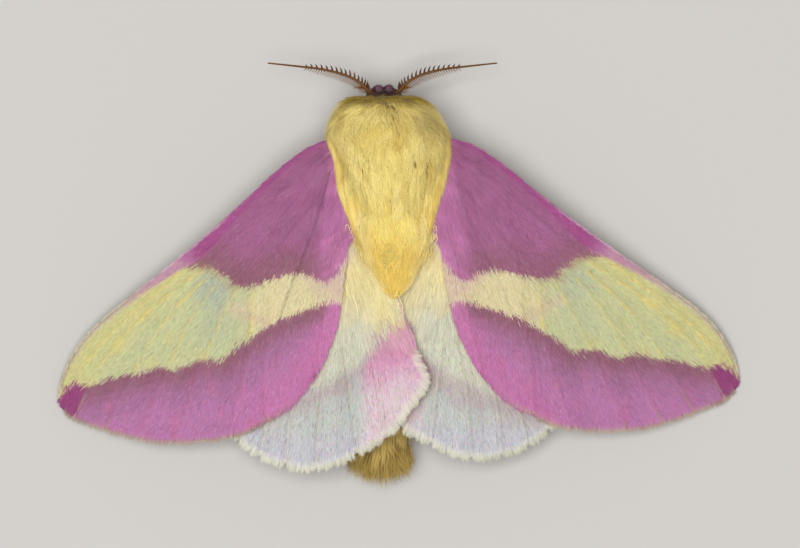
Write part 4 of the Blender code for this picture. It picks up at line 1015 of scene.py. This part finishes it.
def brush(count, material):
    """The fanned brush at the end of the abdomen."""
    draw = np.random.default_rng(16)
    clumps = count // 13
    yaw_clump = draw.uniform(-0.6, 0.68, clumps)
    rise_clump = draw.normal(0, 0.2, clumps)
    which = draw.integers(0, clumps, count)
    yaw_root = yaw_clump[which] + draw.normal(0, 0.12, count)
    rise_root = rise_clump[which] + draw.normal(0, 0.1, count)
    shares = np.linspace(0, 1, 4)[None]
    start = draw.uniform(0.9, 2.3, count)[:, None]
    end = BRUSH_REACH * draw.uniform(0.72, 1.02, count) * draw.uniform(0.88, 1.06, clumps)[which]
    end = (end * (1 - 0.25 * yaw_root ** 2))[:, None]
    reach = start + (end - start) * shares
    yaw = yaw_root[:, None] + (yaw_clump[which] - yaw_root)[:, None] * 0.5 * shares
    yaw = yaw + draw.normal(0, 0.03, clumps)[which][:, None] * np.sin(shares * 4)
    rise = rise_root[:, None] + (rise_clump[which] - rise_root)[:, None] * 0.5 * shares
    x = BRUSH_PIVOT[0] + reach * np.sin(yaw)
    y = BRUSH_PIVOT[1] + reach * np.cos(yaw) * np.cos(rise)
    z = BRUSH_PIVOT[2] + reach * np.sin(rise) - 0.1 * shares ** 2 - 0.12 * (reach - 1)
    path = np.stack([x, y, np.maximum(z, 0.4)], -1)
    widths = draw.uniform(0.03, 0.05, count)[:, None] * (1 - 0.8 * shares ** 2)
    points = hair_rings(path, np.array([0.0, 0.0, 1.0]), widths, 0.5)
    colour = blend(paint("brush"), paint("wool_gold"), 0.4 * draw.random(clumps)[which])
    colour = colour * draw.normal(1.0, 0.06, (count, 1))
    # The roots are painted shade, deep inside the brush
    colours = hair_colours(np.tile(paint("brush_root_shade"), (count, 1)), colour, 3, 0.6)
    obj = joined_mesh("brush", points, hair_faces(3), np.clip(colours, 0, 1),
                      body_unwrap(0.8 + 0.05 * start[:, 0], yaw_root * 2 + rise_root + math.pi / 2))
    return finish_piece(obj, material)


def clear_of_eyes(path):
    """Which hairs keep off the eyes."""
    near = [np.linalg.norm(path - sided(side, EYE_PLACE)[0], axis=-1).min(1) for side, _ in SIDES]
    return np.min(near, axis=0) > EYE_RADIUS + 0.05


def tuft_ball(centre, radius, heading, count, draw, length):
    """Short hairs that stand out from a centre towards a heading, as a soft round tuft."""
    out = draw.normal(0, 1, (count, 3)) + np.array(heading) * 1.1
    out /= np.linalg.norm(out, axis=1, keepdims=True)
    shares = np.array([0.3, 0.72, 1.0])[None, :, None]
    reach = radius * draw.uniform(0.85, 1.08, (count, 1, 1)) * (1 + (length - 1) * shares)
    sag = np.array([0, 0.04, 0.1])[None, :, None] * np.array([0, 0.4, -0.6]) * radius
    return np.array(centre) + out[:, None] * shares * reach + sag, out


def face(material):
    """Two round plum tufts on the brow, dark ones below them, and amber ones at the antennae's roots."""
    draw = np.random.default_rng(17)
    paths, outs, roots, tips = [], [], [], []
    for side, _ in SIDES:
        brow = sided(side, (0.265, -9.66, 4.28))[0]
        for centre, radius, heading, count, dark, pale, length in (
                (brow, 0.21, (0, 0, 0.3), 800, paint("face") * 0.8, paint("face_pale_and_highlight"), 1.0),
                (brow + [0, 0.1, -0.8], 0.34, (0, -1.0, 0.1), 300, paint("face") * 0.7, paint("face"), 1.2),
                (sided(side, (0.68, -9.4, 3.98))[0], 0.3, (side * 0.6, -0.5, 0.5), 240,
                 paint("antenna_base") * 0.7, paint("antenna_base"), 1.0)):
            path, out = tuft_ball(centre, radius, heading, count, draw, length)
            paths.append(path)
            outs.append(out)
            # Roots keep the dark colour and tips that point up turn pale: painted shade low in each tuft and a
            # painted highlight on its top
            shade = draw.normal(1.0, 0.08, (count, 1))
            roots.append(dark * shade)
            tips.append(blend(dark, pale, ramp(out[:, 2] - out[:, 1] * 0.2, -0.1, 0.85)) * shade)
    path, out = np.concatenate(paths), np.concatenate(outs)
    widths = draw.uniform(0.03, 0.05, len(path))[:, None] * np.array([1.0, 0.9, 0.4])[None]
    sideways = np.cross(out, [0.3, 0.2, 1.0])[:, None]
    points = hair_rings(path, sideways, widths, 0.8)
    colours = np.clip(hair_colours(np.concatenate(roots), np.concatenate(tips), 2), 0, 1)
    unwrap = body_unwrap(0.02 + 0.05 * draw.random(len(path)), np.arctan2(out[:, 2], out[:, 0]))
    obj = joined_mesh("face", points, hair_faces(2), colours, unwrap)
    return finish_piece(obj, material)


def thorax_wool(root, tip, lock, draw):
    """The thorax's yellow wool: paler tips, olive front partly painted shade, gold rear, a few orange locks,
    painted shade at the roots.
    """
    colour = blend(paint("wool"), paint("wool_gold"), 0.75 * ramp(tip[:, 1], -3.6, -1.6))
    colour = blend(colour, paint("wool_gold"), 0.6 * (lock < 0.12))
    # Olive at the front: its own colour, darkened further as painted shade where the front turns away from the
    # light
    colour = blend(colour, paint("wool_olive_shaded"), 0.9 * ramp(-tip[:, 1], 8.3, 9.1))
    grey = np.exp(-(((tip[:, 0] + 1.6) / 0.7) ** 2 + ((tip[:, 1] + 7.7) / 0.8) ** 2))
    colour = blend(colour, paint("wool_grey"), 0.5 * grey)
    colour = colour * draw.normal(1.0, 0.04, (len(root), 1)) * (0.95 + 0.1 * lock[:, None])
    pale = blend(colour, paint("wool_pale"), 0.55 * ramp(lock, 0.3, 0.9) * (1 - ramp(-tip[:, 1], 8.0, 9.0)))
    # The roots are painted shade: the darker gold deep in the wool
    return blend(colour, paint("wool_root_shade"), np.full(len(root), 0.45)), pale


def abdomen_wool(root, tip, lock, draw):
    """The abdomen's gold wool, which darkens to tan towards the brush at its end."""
    colour = blend(paint("wool_gold"), paint("wool"), 0.35 * ramp(lock, 0.5, 1.0))
    colour = blend(colour, paint("brush"), ramp(tip[:, 1], 5.5, 9.0))
    colour = colour * draw.normal(1.0, 0.05, (len(root), 1))
    # The roots are painted shade, darker towards the brush
    dark = blend(paint("wool_root_shade"), paint("brush_root_shade"), ramp(root[:, 1], 6.0, 9.0))
    return blend(colour, dark, np.full(len(root), 0.5)), np.clip(colour * 1.06, 0, 1)


def face_wool(root, tip, lock, draw):
    """The dark red-brown wool of the face and the top of the head."""
    colour = blend(paint("face"), paint("face_pale_and_highlight"), 0.25 * lock) * draw.normal(1.0, 0.08, (len(root), 1))
    # The roots darker: painted shade low in the wool
    return colour * 0.7, colour


def body_form(name, part):
    """One part of the body's skin, a sphere drawn out along the part."""
    deselect()
    bpy.ops.mesh.primitive_uv_sphere_add(segments=64, ring_count=72, radius=1)
    obj = bpy.context.object
    obj.name = name
    unit = points_of(obj) * MM
    s = np.arccos(np.clip(unit[:, 2], -1, 1)) / math.pi
    around = np.arctan2(unit[:, 1], unit[:, 0])
    move_points(obj, body_places(part, s, around, np.full(len(s), -0.02)))
    return obj


def body_skin(material):
    """One skin over head, thorax and abdomen, so that no seam shows between them."""
    forms = [body_form("body_skin", THORAX), body_form("belly", ABDOMEN), body_form("brow", HEAD)]
    deselect()
    for form in forms:
        form.select_set(True)
    bpy.context.view_layer.objects.active = forms[0]
    bpy.ops.object.join()
    body = forms[0]
    body.data.remesh_voxel_size = 0.14 * MM
    pick(body)
    bpy.ops.object.voxel_remesh()
    apply_modifier(body, "SMOOTH", factor=0.5, iterations=4)
    body.data.shade_smooth()
    places = points_of(body)
    # The skin under the wool takes the wool's painted root shade, the face's dark colour at the head and the
    # brush's root shade at the tail
    colour = blend(paint("wool_root_shade"), paint("face") * 0.7, ramp(-places[:, 1], 8.7, 9.1))
    colour = blend(colour, paint("brush_root_shade"), ramp(places[:, 1], 6.0, 9.0))
    tint(body, colour)
    return finish_piece(body, material, ("head", "thorax", "abdomen"))


def tube(name, path, radii, sides=4):
    """A round tube along a smooth path, drawn as a bevelled curve and made a mesh."""
    deselect()
    bpy.ops.curve.primitive_nurbs_path_add()
    obj = bpy.context.object
    obj.name = name
    curve = obj.data
    curve.splines.clear()
    run = curve.splines.new("POLY")
    run.points.add(len(path) - 1)
    for point, place, radius in zip(run.points, path, radii):
        point.co = (*(Vector(place) * MM), 1)
        point.radius = radius
    curve.dimensions = "3D"
    curve.bevel_depth = MM
    curve.bevel_resolution = sides
    curve.use_fill_caps = True
    pick(obj)
    bpy.ops.object.convert(target="MESH")
    obj.data.shade_smooth()
    return obj


def join(name, pieces):
    """Joins pieces into one object with the first one's place."""
    deselect()
    for piece in pieces:
        piece.select_set(True)
    bpy.context.view_layer.objects.active = pieces[0]
    bpy.ops.object.join()
    pieces[0].name = name
    return pieces[0]


def sided(side, points):
    """Points given by their distance out from the body's middle, as places."""
    points = np.atleast_2d(np.array(points, float))
    return np.column_stack([middle(points[:, 1]) + side * points[:, 0], points[:, 1], points[:, 2]])


def antenna(side, word, material):
    """A jointed shaft whose inner part has stout curved teeth in front and finer ones behind."""
    knots = sided(side, ANTENNA_PATH)
    shares = np.linspace(0, 1, 181)
    path = curve_at(knots, shares)
    joints = 0.012 * np.abs(np.sin(shares * math.pi * 46))
    radii = 0.085 - 0.05 * shares ** 1.2 + joints * (1 - 0.6 * shares)
    shaft = tube("antenna_" + word, path, radii, 2)
    tint(shaft, np.tile(paint("antenna"), (len(shaft.data.vertices), 1)))
    finish_piece(shaft, material, ("antenna_" + word,))
    draw = np.random.default_rng(110 + side)
    stout, fine = 17, 32
    place = np.concatenate([np.linspace(0.11, 0.7, stout), np.linspace(0.11, 0.7, fine)])
    fore = np.repeat([1.0, -1.0], [stout, fine])
    root = curve_at(knots, place)
    along = curve_at(knots, place + 0.01) - root
    along /= np.linalg.norm(along, axis=1, keepdims=True)
    across = np.cross(along, [0.0, 0.0, 1.0]) * side
    across /= np.linalg.norm(across, axis=1, keepdims=True)
    reach = (0.33 + 0.08 * (fore < 0)) * np.sin(np.pi * (0.25 + 0.68 * (place - 0.11) / 0.59)) ** 0.6
    reach = reach * draw.uniform(0.93, 1.07, len(place))
    t = np.linspace(0, 1, 5)[None, :, None]
    out = across * fore[:, None]
    bow = out[:, None] * t + along[:, None] * (0.15 * t + 0.45 * t * t) + np.array([0, 0, -0.22]) * t * t
    teeth = root[:, None] + bow * reach[:, None, None]
    widths = np.where(fore > 0, 0.12, 0.055)[:, None] * (1 - 0.5 * np.linspace(0, 1, 5)[None])
    points = hair_rings(teeth, np.array([0.0, 0.0, 1.0]), widths, 1.4)
    colour = blend(paint("comb"), paint("antenna_base"), 0.8 * (fore < 0))
    colour = colour * draw.normal(1, 0.05, (len(place), 1))
    comb = joined_mesh("antenna_" + word + "_comb", points, hair_faces(4),
                       hair_colours(colour, colour * 1.1, 4),
                       np.stack([place * 0.9 + 0.05, 0.5 + 0.2 * fore], -1))
    finish_piece(comb, material)
    bristles = 5
    which = np.repeat(np.arange(len(place)), bristles)
    at = np.tile(np.linspace(0.2, 0.95, bristles), len(place))
    base = root[which] + (out[which] * at[:, None] + along[which] * (0.15 * at + 0.45 * at * at)[:, None]
                          + np.array([0, 0, -0.22]) * (at * at)[:, None]) * reach[which][:, None]
    aim = along[which] * 0.8 + out[which] * 0.5 + draw.normal(0, 0.2, (len(which), 3))
    aim *= (0.05 + 0.03 * draw.random(len(which)))[:, None]
    hairs = base[:, None] + aim[:, None] * np.array([0, 0.55, 1.0])[None, :, None]
    widths = np.array([0.022, 0.018, 0.006])[None] * np.ones((len(which), 1))
    points = hair_rings(hairs, np.array([0.0, 0.0, 1.0]), widths, 1.2)
    colour = np.tile(paint("antenna") * 1.1, (len(which), 1))
    bristle = joined_mesh("antenna_" + word + "_bristles", points, hair_faces(2),
                          hair_colours(colour, colour, 2),
                          np.stack([place[which] * 0.9 + 0.05, 0.5 + 0.3 * fore[which]], -1))
    finish_piece(bristle, material)


def eye(side, word, material):
    """A dark domed eye at the side of the head."""
    place = sided(side, EYE_PLACE)[0]
    deselect()
    bpy.ops.mesh.primitive_ico_sphere_add(subdivisions=5, radius=EYE_RADIUS * MM, location=Vector(place) * MM)
    obj = bpy.context.object
    obj.name = "eye_" + word
    bpy.ops.object.mode_set(mode="EDIT")
    bpy.ops.mesh.select_all(action="SELECT")
    bpy.ops.transform.resize(value=(0.86, 0.96, 1.0), center_override=Vector(place) * MM)
    bpy.ops.object.mode_set(mode="OBJECT")
    bpy.ops.object.transform_apply(location=True, rotation=True, scale=True)
    obj.data.shade_smooth()
    return finish_piece(obj, material, ("eye_" + word,))


LEG_PARTS = [("thigh", 0, 1, 0.26, 0.2), ("shin", 1, 2, 0.2, 0.13), ("foot", 2, 3, 0.105, 0.075)]


def leg_lines(side, leg):
    """The leg's bones, hip to toe, as straight runs with a slight bow."""
    stops = sided(side, [leg["hip"]] + leg["path"])
    lines = []
    for _, a, b, _, thin in LEG_PARTS:
        t = np.linspace(0, 1, 25)[:, None]
        line = stops[a] * (1 - t) + stops[b] * t
        bow = 0.12 if b < 3 else 0.0
        line = line + np.array([0, 0, bow]) * np.sin(t * math.pi)
        if b == 3:
            fall = (stops[b][2] - stops[a][2]) * np.sqrt(t[:, 0] * 1.6)
            line[:, 2] = np.maximum(np.maximum(stops[b][2], stops[a][2] + fall), thin)
        lines.append(line)
    return lines


def leg(side, word, place, sizes, material):
    """Thigh, shin and five-jointed foot, with a pair of claws."""
    pieces = []
    colours = []
    for (part, _, _, thick, thin), line in zip(LEG_PARTS, leg_lines(side, sizes)):
        t = np.linspace(0, 1, len(line))
        radii = thick + (thin - thick) * t
        swell = 0.25 * np.sin(t * math.pi) if part != "foot" else 0.22 * np.abs(np.sin(t * math.pi * 5))
        ends = np.minimum(1, np.sqrt(np.minimum(t, 1 - t) * 12) + 0.25)
        piece = tube(part, line, radii * (0.85 + swell) * ends, 3)
        pieces.append(piece)
        shade = paint("foot") if part == "foot" else paint("leg") * 0.8
        colours.append(np.tile(shade, (len(piece.data.vertices), 1)))
    toe = leg_lines(side, sizes)[2][-1]
    heading = toe - leg_lines(side, sizes)[2][-4]
    heading /= np.linalg.norm(heading)
    across = np.cross(heading, [0.0, 0.0, 1.0])
    for way in (-1, 1):
        t = np.linspace(0, 1, 9)[:, None]
        line = toe + (heading * 0.2 + across * 0.1 * way) * t + np.array([0, 0, 0.05]) * np.sin(t * math.pi)
        line[:, 2] = np.maximum(line[:, 2] - 0.04 * t[:, 0], 0.02)
        claw = tube("claw", line, 0.035 * (1 - 0.8 * t[:, 0]), 2)
        pieces.append(claw)
        colours.append(np.tile(paint("comb") * 0.6, (len(claw.data.vertices), 1)))
    obj = join("leg_" + place + "_" + word, pieces)
    tint(obj, np.vstack(colours))
    return finish_piece(obj, material, ("leg_" + place + "_" + word,))


def leg_coat(side, word, count, material):
    """The short rosy fur of the three legs of one side, shortest on the feet."""
    draw = np.random.default_rng(130 + side)
    tufts, colours, places = [], [], []
    for n, sizes in enumerate(LEGS.values()):
        for k, ((_, _, _, thick, thin), line) in enumerate(zip(LEG_PARTS, leg_lines(side, sizes))):
            number = int(count / 3 * (0.45, 0.38, 0.17)[k])
            t = draw.uniform(0.02, 0.97, number)
            at = np.stack([np.interp(t, np.linspace(0, 1, len(line)), line[:, i]) for i in range(3)], -1)
            along = line[-1] - line[0]
            along /= np.linalg.norm(along)
            first = np.cross(along, [0.3, 0.2, 1.0])
            first /= np.linalg.norm(first)
            second = np.cross(along, first)
            turn = draw.uniform(0, 2 * math.pi, number)
            out = first * np.cos(turn)[:, None] + second * np.sin(turn)[:, None]
            radius = (thick + (thin - thick) * t) * 0.9
            root = at + out * (radius * 0.85)[:, None]
            length = (0.62, 0.5, 0.16)[k] * draw.uniform(0.7, 1.2, number)
            rise = (0.34, 0.3, 0.25)[k]
            shares = np.array([0, 0.5, 1.0])[None, :, None]
            path = root[:, None] + (along[None, None] * shares + out[:, None] * rise * shares ** 0.8
                                    ) * length[:, None, None]
            path[..., 2] = np.maximum(path[..., 2], 0.015)
            widths = np.array([0.06, 0.05, 0.015])[None] * draw.uniform(0.8, 1.2, number)[:, None]
            if k == 2:
                widths = widths * 0.6
            tufts.append(hair_rings(path, out[:, None], widths, 0.8))
            shade = blend(paint("leg"), paint("leg_pale"), 0.55 * draw.random(number) ** 2)
            if k == 2:
                shade = blend(paint("foot"), paint("leg"), draw.random(number) * 0.6)
            # The roots darker: painted shade low in the fur
            colours.append(hair_colours(shade * 0.75, shade, 2))
            places.append(np.stack([0.05 + 0.3 * n + 0.28 * turn / (2 * math.pi), 0.05 + 0.3 * (k + t)], -1))
    obj = joined_mesh("legs_" + word + "_coat", np.concatenate(tufts), hair_faces(2),
                      np.clip(np.concatenate(colours), 0, 1), np.concatenate(places))
    return finish_piece(obj, material)


def palps(material):
    """The two small feelers under the face."""
    for side, word in SIDES:
        path = curve_at(sided(side, PALP_PATH), np.linspace(0, 1, 20))
        radii = 0.17 * np.sqrt(np.sin(np.linspace(0.25, 1, 20) * math.pi * 0.97)) + 0.02
        obj = tube("palp_" + word, path, radii, 3)
        tint(obj, np.tile(paint("face") * 0.8, (len(obj.data.vertices), 1)))
        finish_piece(obj, material)


def tinted_material(name, roughness, sheen, mottle_size, mottle, bump=0.0):
    """A matte surface that takes its colour from the piece's own tints, with a fine mottle and grain."""
    material = bpy.data.materials.new(name)
    material.use_nodes = True
    nodes, links = material.node_tree.nodes, material.node_tree.links
    shader = nodes["Principled BSDF"]
    shader.inputs["Roughness"].default_value = roughness
    shader.inputs["Sheen Weight"].default_value = sheen
    shader.inputs["Sheen Roughness"].default_value = 0.5
    shader.inputs["Specular IOR Level"].default_value = 0.25
    stored = nodes.new("ShaderNodeAttribute")
    stored.attribute_name = "tint"
    place = nodes.new("ShaderNodeTexCoord")
    noise = nodes.new("ShaderNodeTexNoise")
    noise.inputs["Scale"].default_value = 1 / (mottle_size * MM)
    noise.inputs["Detail"].default_value = 4
    links.new(place.outputs["Object"], noise.inputs["Vector"])
    shade = nodes.new("ShaderNodeMapRange")
    shade.inputs["To Min"].default_value = 1 - mottle
    shade.inputs["To Max"].default_value = 1 + mottle
    links.new(noise.outputs["Fac"], shade.inputs["Value"])
    mix = nodes.new("ShaderNodeVectorMath")
    mix.operation = "SCALE"
    links.new(stored.outputs["Color"], mix.inputs[0])
    links.new(shade.outputs["Result"], mix.inputs["Scale"])
    links.new(mix.outputs["Vector"], shader.inputs["Base Color"])
    if bump:
        rise = nodes.new("ShaderNodeBump")
        rise.inputs["Strength"].default_value = bump
        rise.inputs["Distance"].default_value = 0.02 * MM
        links.new(noise.outputs["Fac"], rise.inputs["Height"])
        links.new(rise.outputs["Normal"], shader.inputs["Normal"])
    return material


def eye_material():
    """Dark brown glossy facets."""
    material = bpy.data.materials.new("eye facets")
    material.use_nodes = True
    nodes, links = material.node_tree.nodes, material.node_tree.links
    shader = nodes["Principled BSDF"]
    shader.inputs["Roughness"].default_value = 0.22
    shader.inputs["Coat Weight"].default_value = 0.6
    place = nodes.new("ShaderNodeTexCoord")
    facets = nodes.new("ShaderNodeTexVoronoi")
    facets.inputs["Scale"].default_value = 1 / (0.045 * MM)
    links.new(place.outputs["Object"], facets.inputs["Vector"])
    colours = nodes.new("ShaderNodeValToRGB")
    colours.color_ramp.elements[0].color = (*linear(paint("eye") * 1.6), 1)
    colours.color_ramp.elements[1].color = (*linear(paint("eye") * 0.5), 1)
    links.new(facets.outputs["Distance"], colours.inputs["Fac"])
    links.new(colours.outputs["Color"], shader.inputs["Base Color"])
    rise = nodes.new("ShaderNodeBump")
    rise.inputs["Strength"].default_value = 0.5
    rise.inputs["Distance"].default_value = 0.01 * MM
    rise.invert = True
    links.new(facets.outputs["Distance"], rise.inputs["Height"])
    links.new(rise.outputs["Normal"], shader.inputs["Normal"])
    return material


def floor():
    """A plain pale floor."""
    deselect()
    bpy.ops.mesh.primitive_plane_add(size=2.0)
    obj = bpy.context.object
    obj.name = "floor"
    material = bpy.data.materials.new("pale floor")
    material.use_nodes = True
    shader = material.node_tree.nodes["Principled BSDF"]
    shader.inputs["Base Color"].default_value = (0.62, 0.6, 0.57, 1)
    shader.inputs["Roughness"].default_value = 0.9
    obj.data.materials.append(material)


CAMERA_HEIGHT = 0.35
VIEW_CENTRE = (-0.026, -0.052)  # millimetres, at the middle of the picture
VIEW_WIDTH, WING_LEVEL = 41.6, 4.0


def camera():
    """Straight above the moth, with its head towards the top of the picture."""
    data = bpy.data.cameras.new("camera")
    data.sensor_width = 36
    data.lens = data.sensor_width * (CAMERA_HEIGHT - WING_LEVEL * MM) / (VIEW_WIDTH * MM)
    data.clip_start = 0.01
    obj = bpy.data.objects.new("camera", data)
    obj.location = (VIEW_CENTRE[0] * MM, VIEW_CENTRE[1] * MM, CAMERA_HEIGHT)
    obj.rotation_euler = (0, 0, math.pi)
    bpy.context.scene.collection.objects.link(obj)
    bpy.context.scene.camera = obj


def lamp(name, place, size, power):
    """A square soft light that faces the moth."""
    data = bpy.data.lights.new(name, "AREA")
    data.shape = "SQUARE"
    data.size = size
    data.energy = power
    obj = bpy.data.objects.new(name, data)
    obj.location = place
    obj.rotation_euler = (-Vector(place)).to_track_quat("-Z", "Y").to_euler()
    bpy.context.scene.collection.objects.link(obj)


def lights():
    """A broad light from almost straight above, and an even sky."""
    lamp("key light", (0.03, 0.01, 0.45), 0.22, 1.8)
    world = bpy.data.worlds.new("soft sky")
    world.use_nodes = True
    world.node_tree.nodes["Background"].inputs["Color"].default_value = (1, 1, 1, 1)
    world.node_tree.nodes["Background"].inputs["Strength"].default_value = 0.22
    bpy.context.scene.world = world
    bpy.context.scene.view_settings.view_transform = "Standard"


def dress():
    """Every piece of the moth."""
    membrane = tinted_material("wing membrane", 0.7, 0.1, 0.25, 0.05, bump=0.3)
    dust = tinted_material("wing scales", 0.62, 0.15, 0.4, 0.05)
    wool = tinted_material("body wool", 0.6, 0.2, 0.5, 0.06)
    skin = tinted_material("skin", 0.8, 0.0, 0.3, 0.12, bump=0.4)
    horn = tinted_material("amber horn", 0.45, 0.0, 0.12, 0.1, bump=0.2)
    for side, word in SIDES:
        wing_membrane("hindwing", side, word, membrane)
        wing_membrane("forewing", side, word, membrane)
        wing_scales("hindwing", side, word, 25000, dust)
        wing_scales("forewing", side, word, 41500, dust)
        wing_scales("hindwing", side, word, 3500, dust, under=True)
        wing_scales("forewing", side, word, 6000, dust, under=True)
        wing_fringe("hindwing", side, word, 6000, dust)
        wing_fringe("forewing", side, word, 4200, dust)
        base_hairs(side, word, 5200, wool)
        antenna(side, word, horn)
        eye(side, word, eye_material())
        for place, sizes in LEGS.items():
            leg(side, word, place, sizes, skin)
        leg_coat(side, word, 2700, wool)
    body_skin(skin)
    back, belly = (-0.25, math.pi + 0.25), (math.pi + 0.25, 2 * math.pi - 0.25)
    around = (0.0, 2 * math.pi)
    # Name, part, hairs, hairs in a lock, length, width, colours, seed, rows, top, turns, wings and rings
    coats = [
        ("thorax_collar", THORAX, 1800, 18, 1.2, 0.055, thorax_wool, 11,
         (0.0, 0.09), (0.55, 0.85), back, True),
        ("thorax_coat_front", THORAX, 11000, 26, 2.1, 0.05, thorax_wool, 3,
         (0.0, 0.42), (0.78, 1.0), back, True),
        ("thorax_coat_rear", THORAX, 10500, 26, 2.5, 0.05, thorax_wool, 4,
         (0.36, 0.95), (0.8, 1.04), back, True),
        ("thorax_coat_under", THORAX, 3200, 20, 1.9, 0.1, thorax_wool, 5,
         (0.0, 0.95), (0.7, 0.95), belly, False, 2),
        ("abdomen_coat", ABDOMEN, 5000, 22, 1.8, 0.1, abdomen_wool, 7,
         (0.06, 0.84), (0.65, 0.95), around, None, 2),
        ("head_coat", HEAD, 1800, 12, 0.4, 0.05, face_wool, 8,
         (0.1, 0.8), (0.35, 0.7), around, None, 2),
    ]
    for name, part, *growth in coats:
        obj = grow_coat(name, part, *growth)
        finish_piece(obj, wool)
    plume(4200, wool)
    whorl(420, wool)
    brush(2700, wool)
    face(wool)
    palps(skin)


floor()
camera()
lights()
dress()
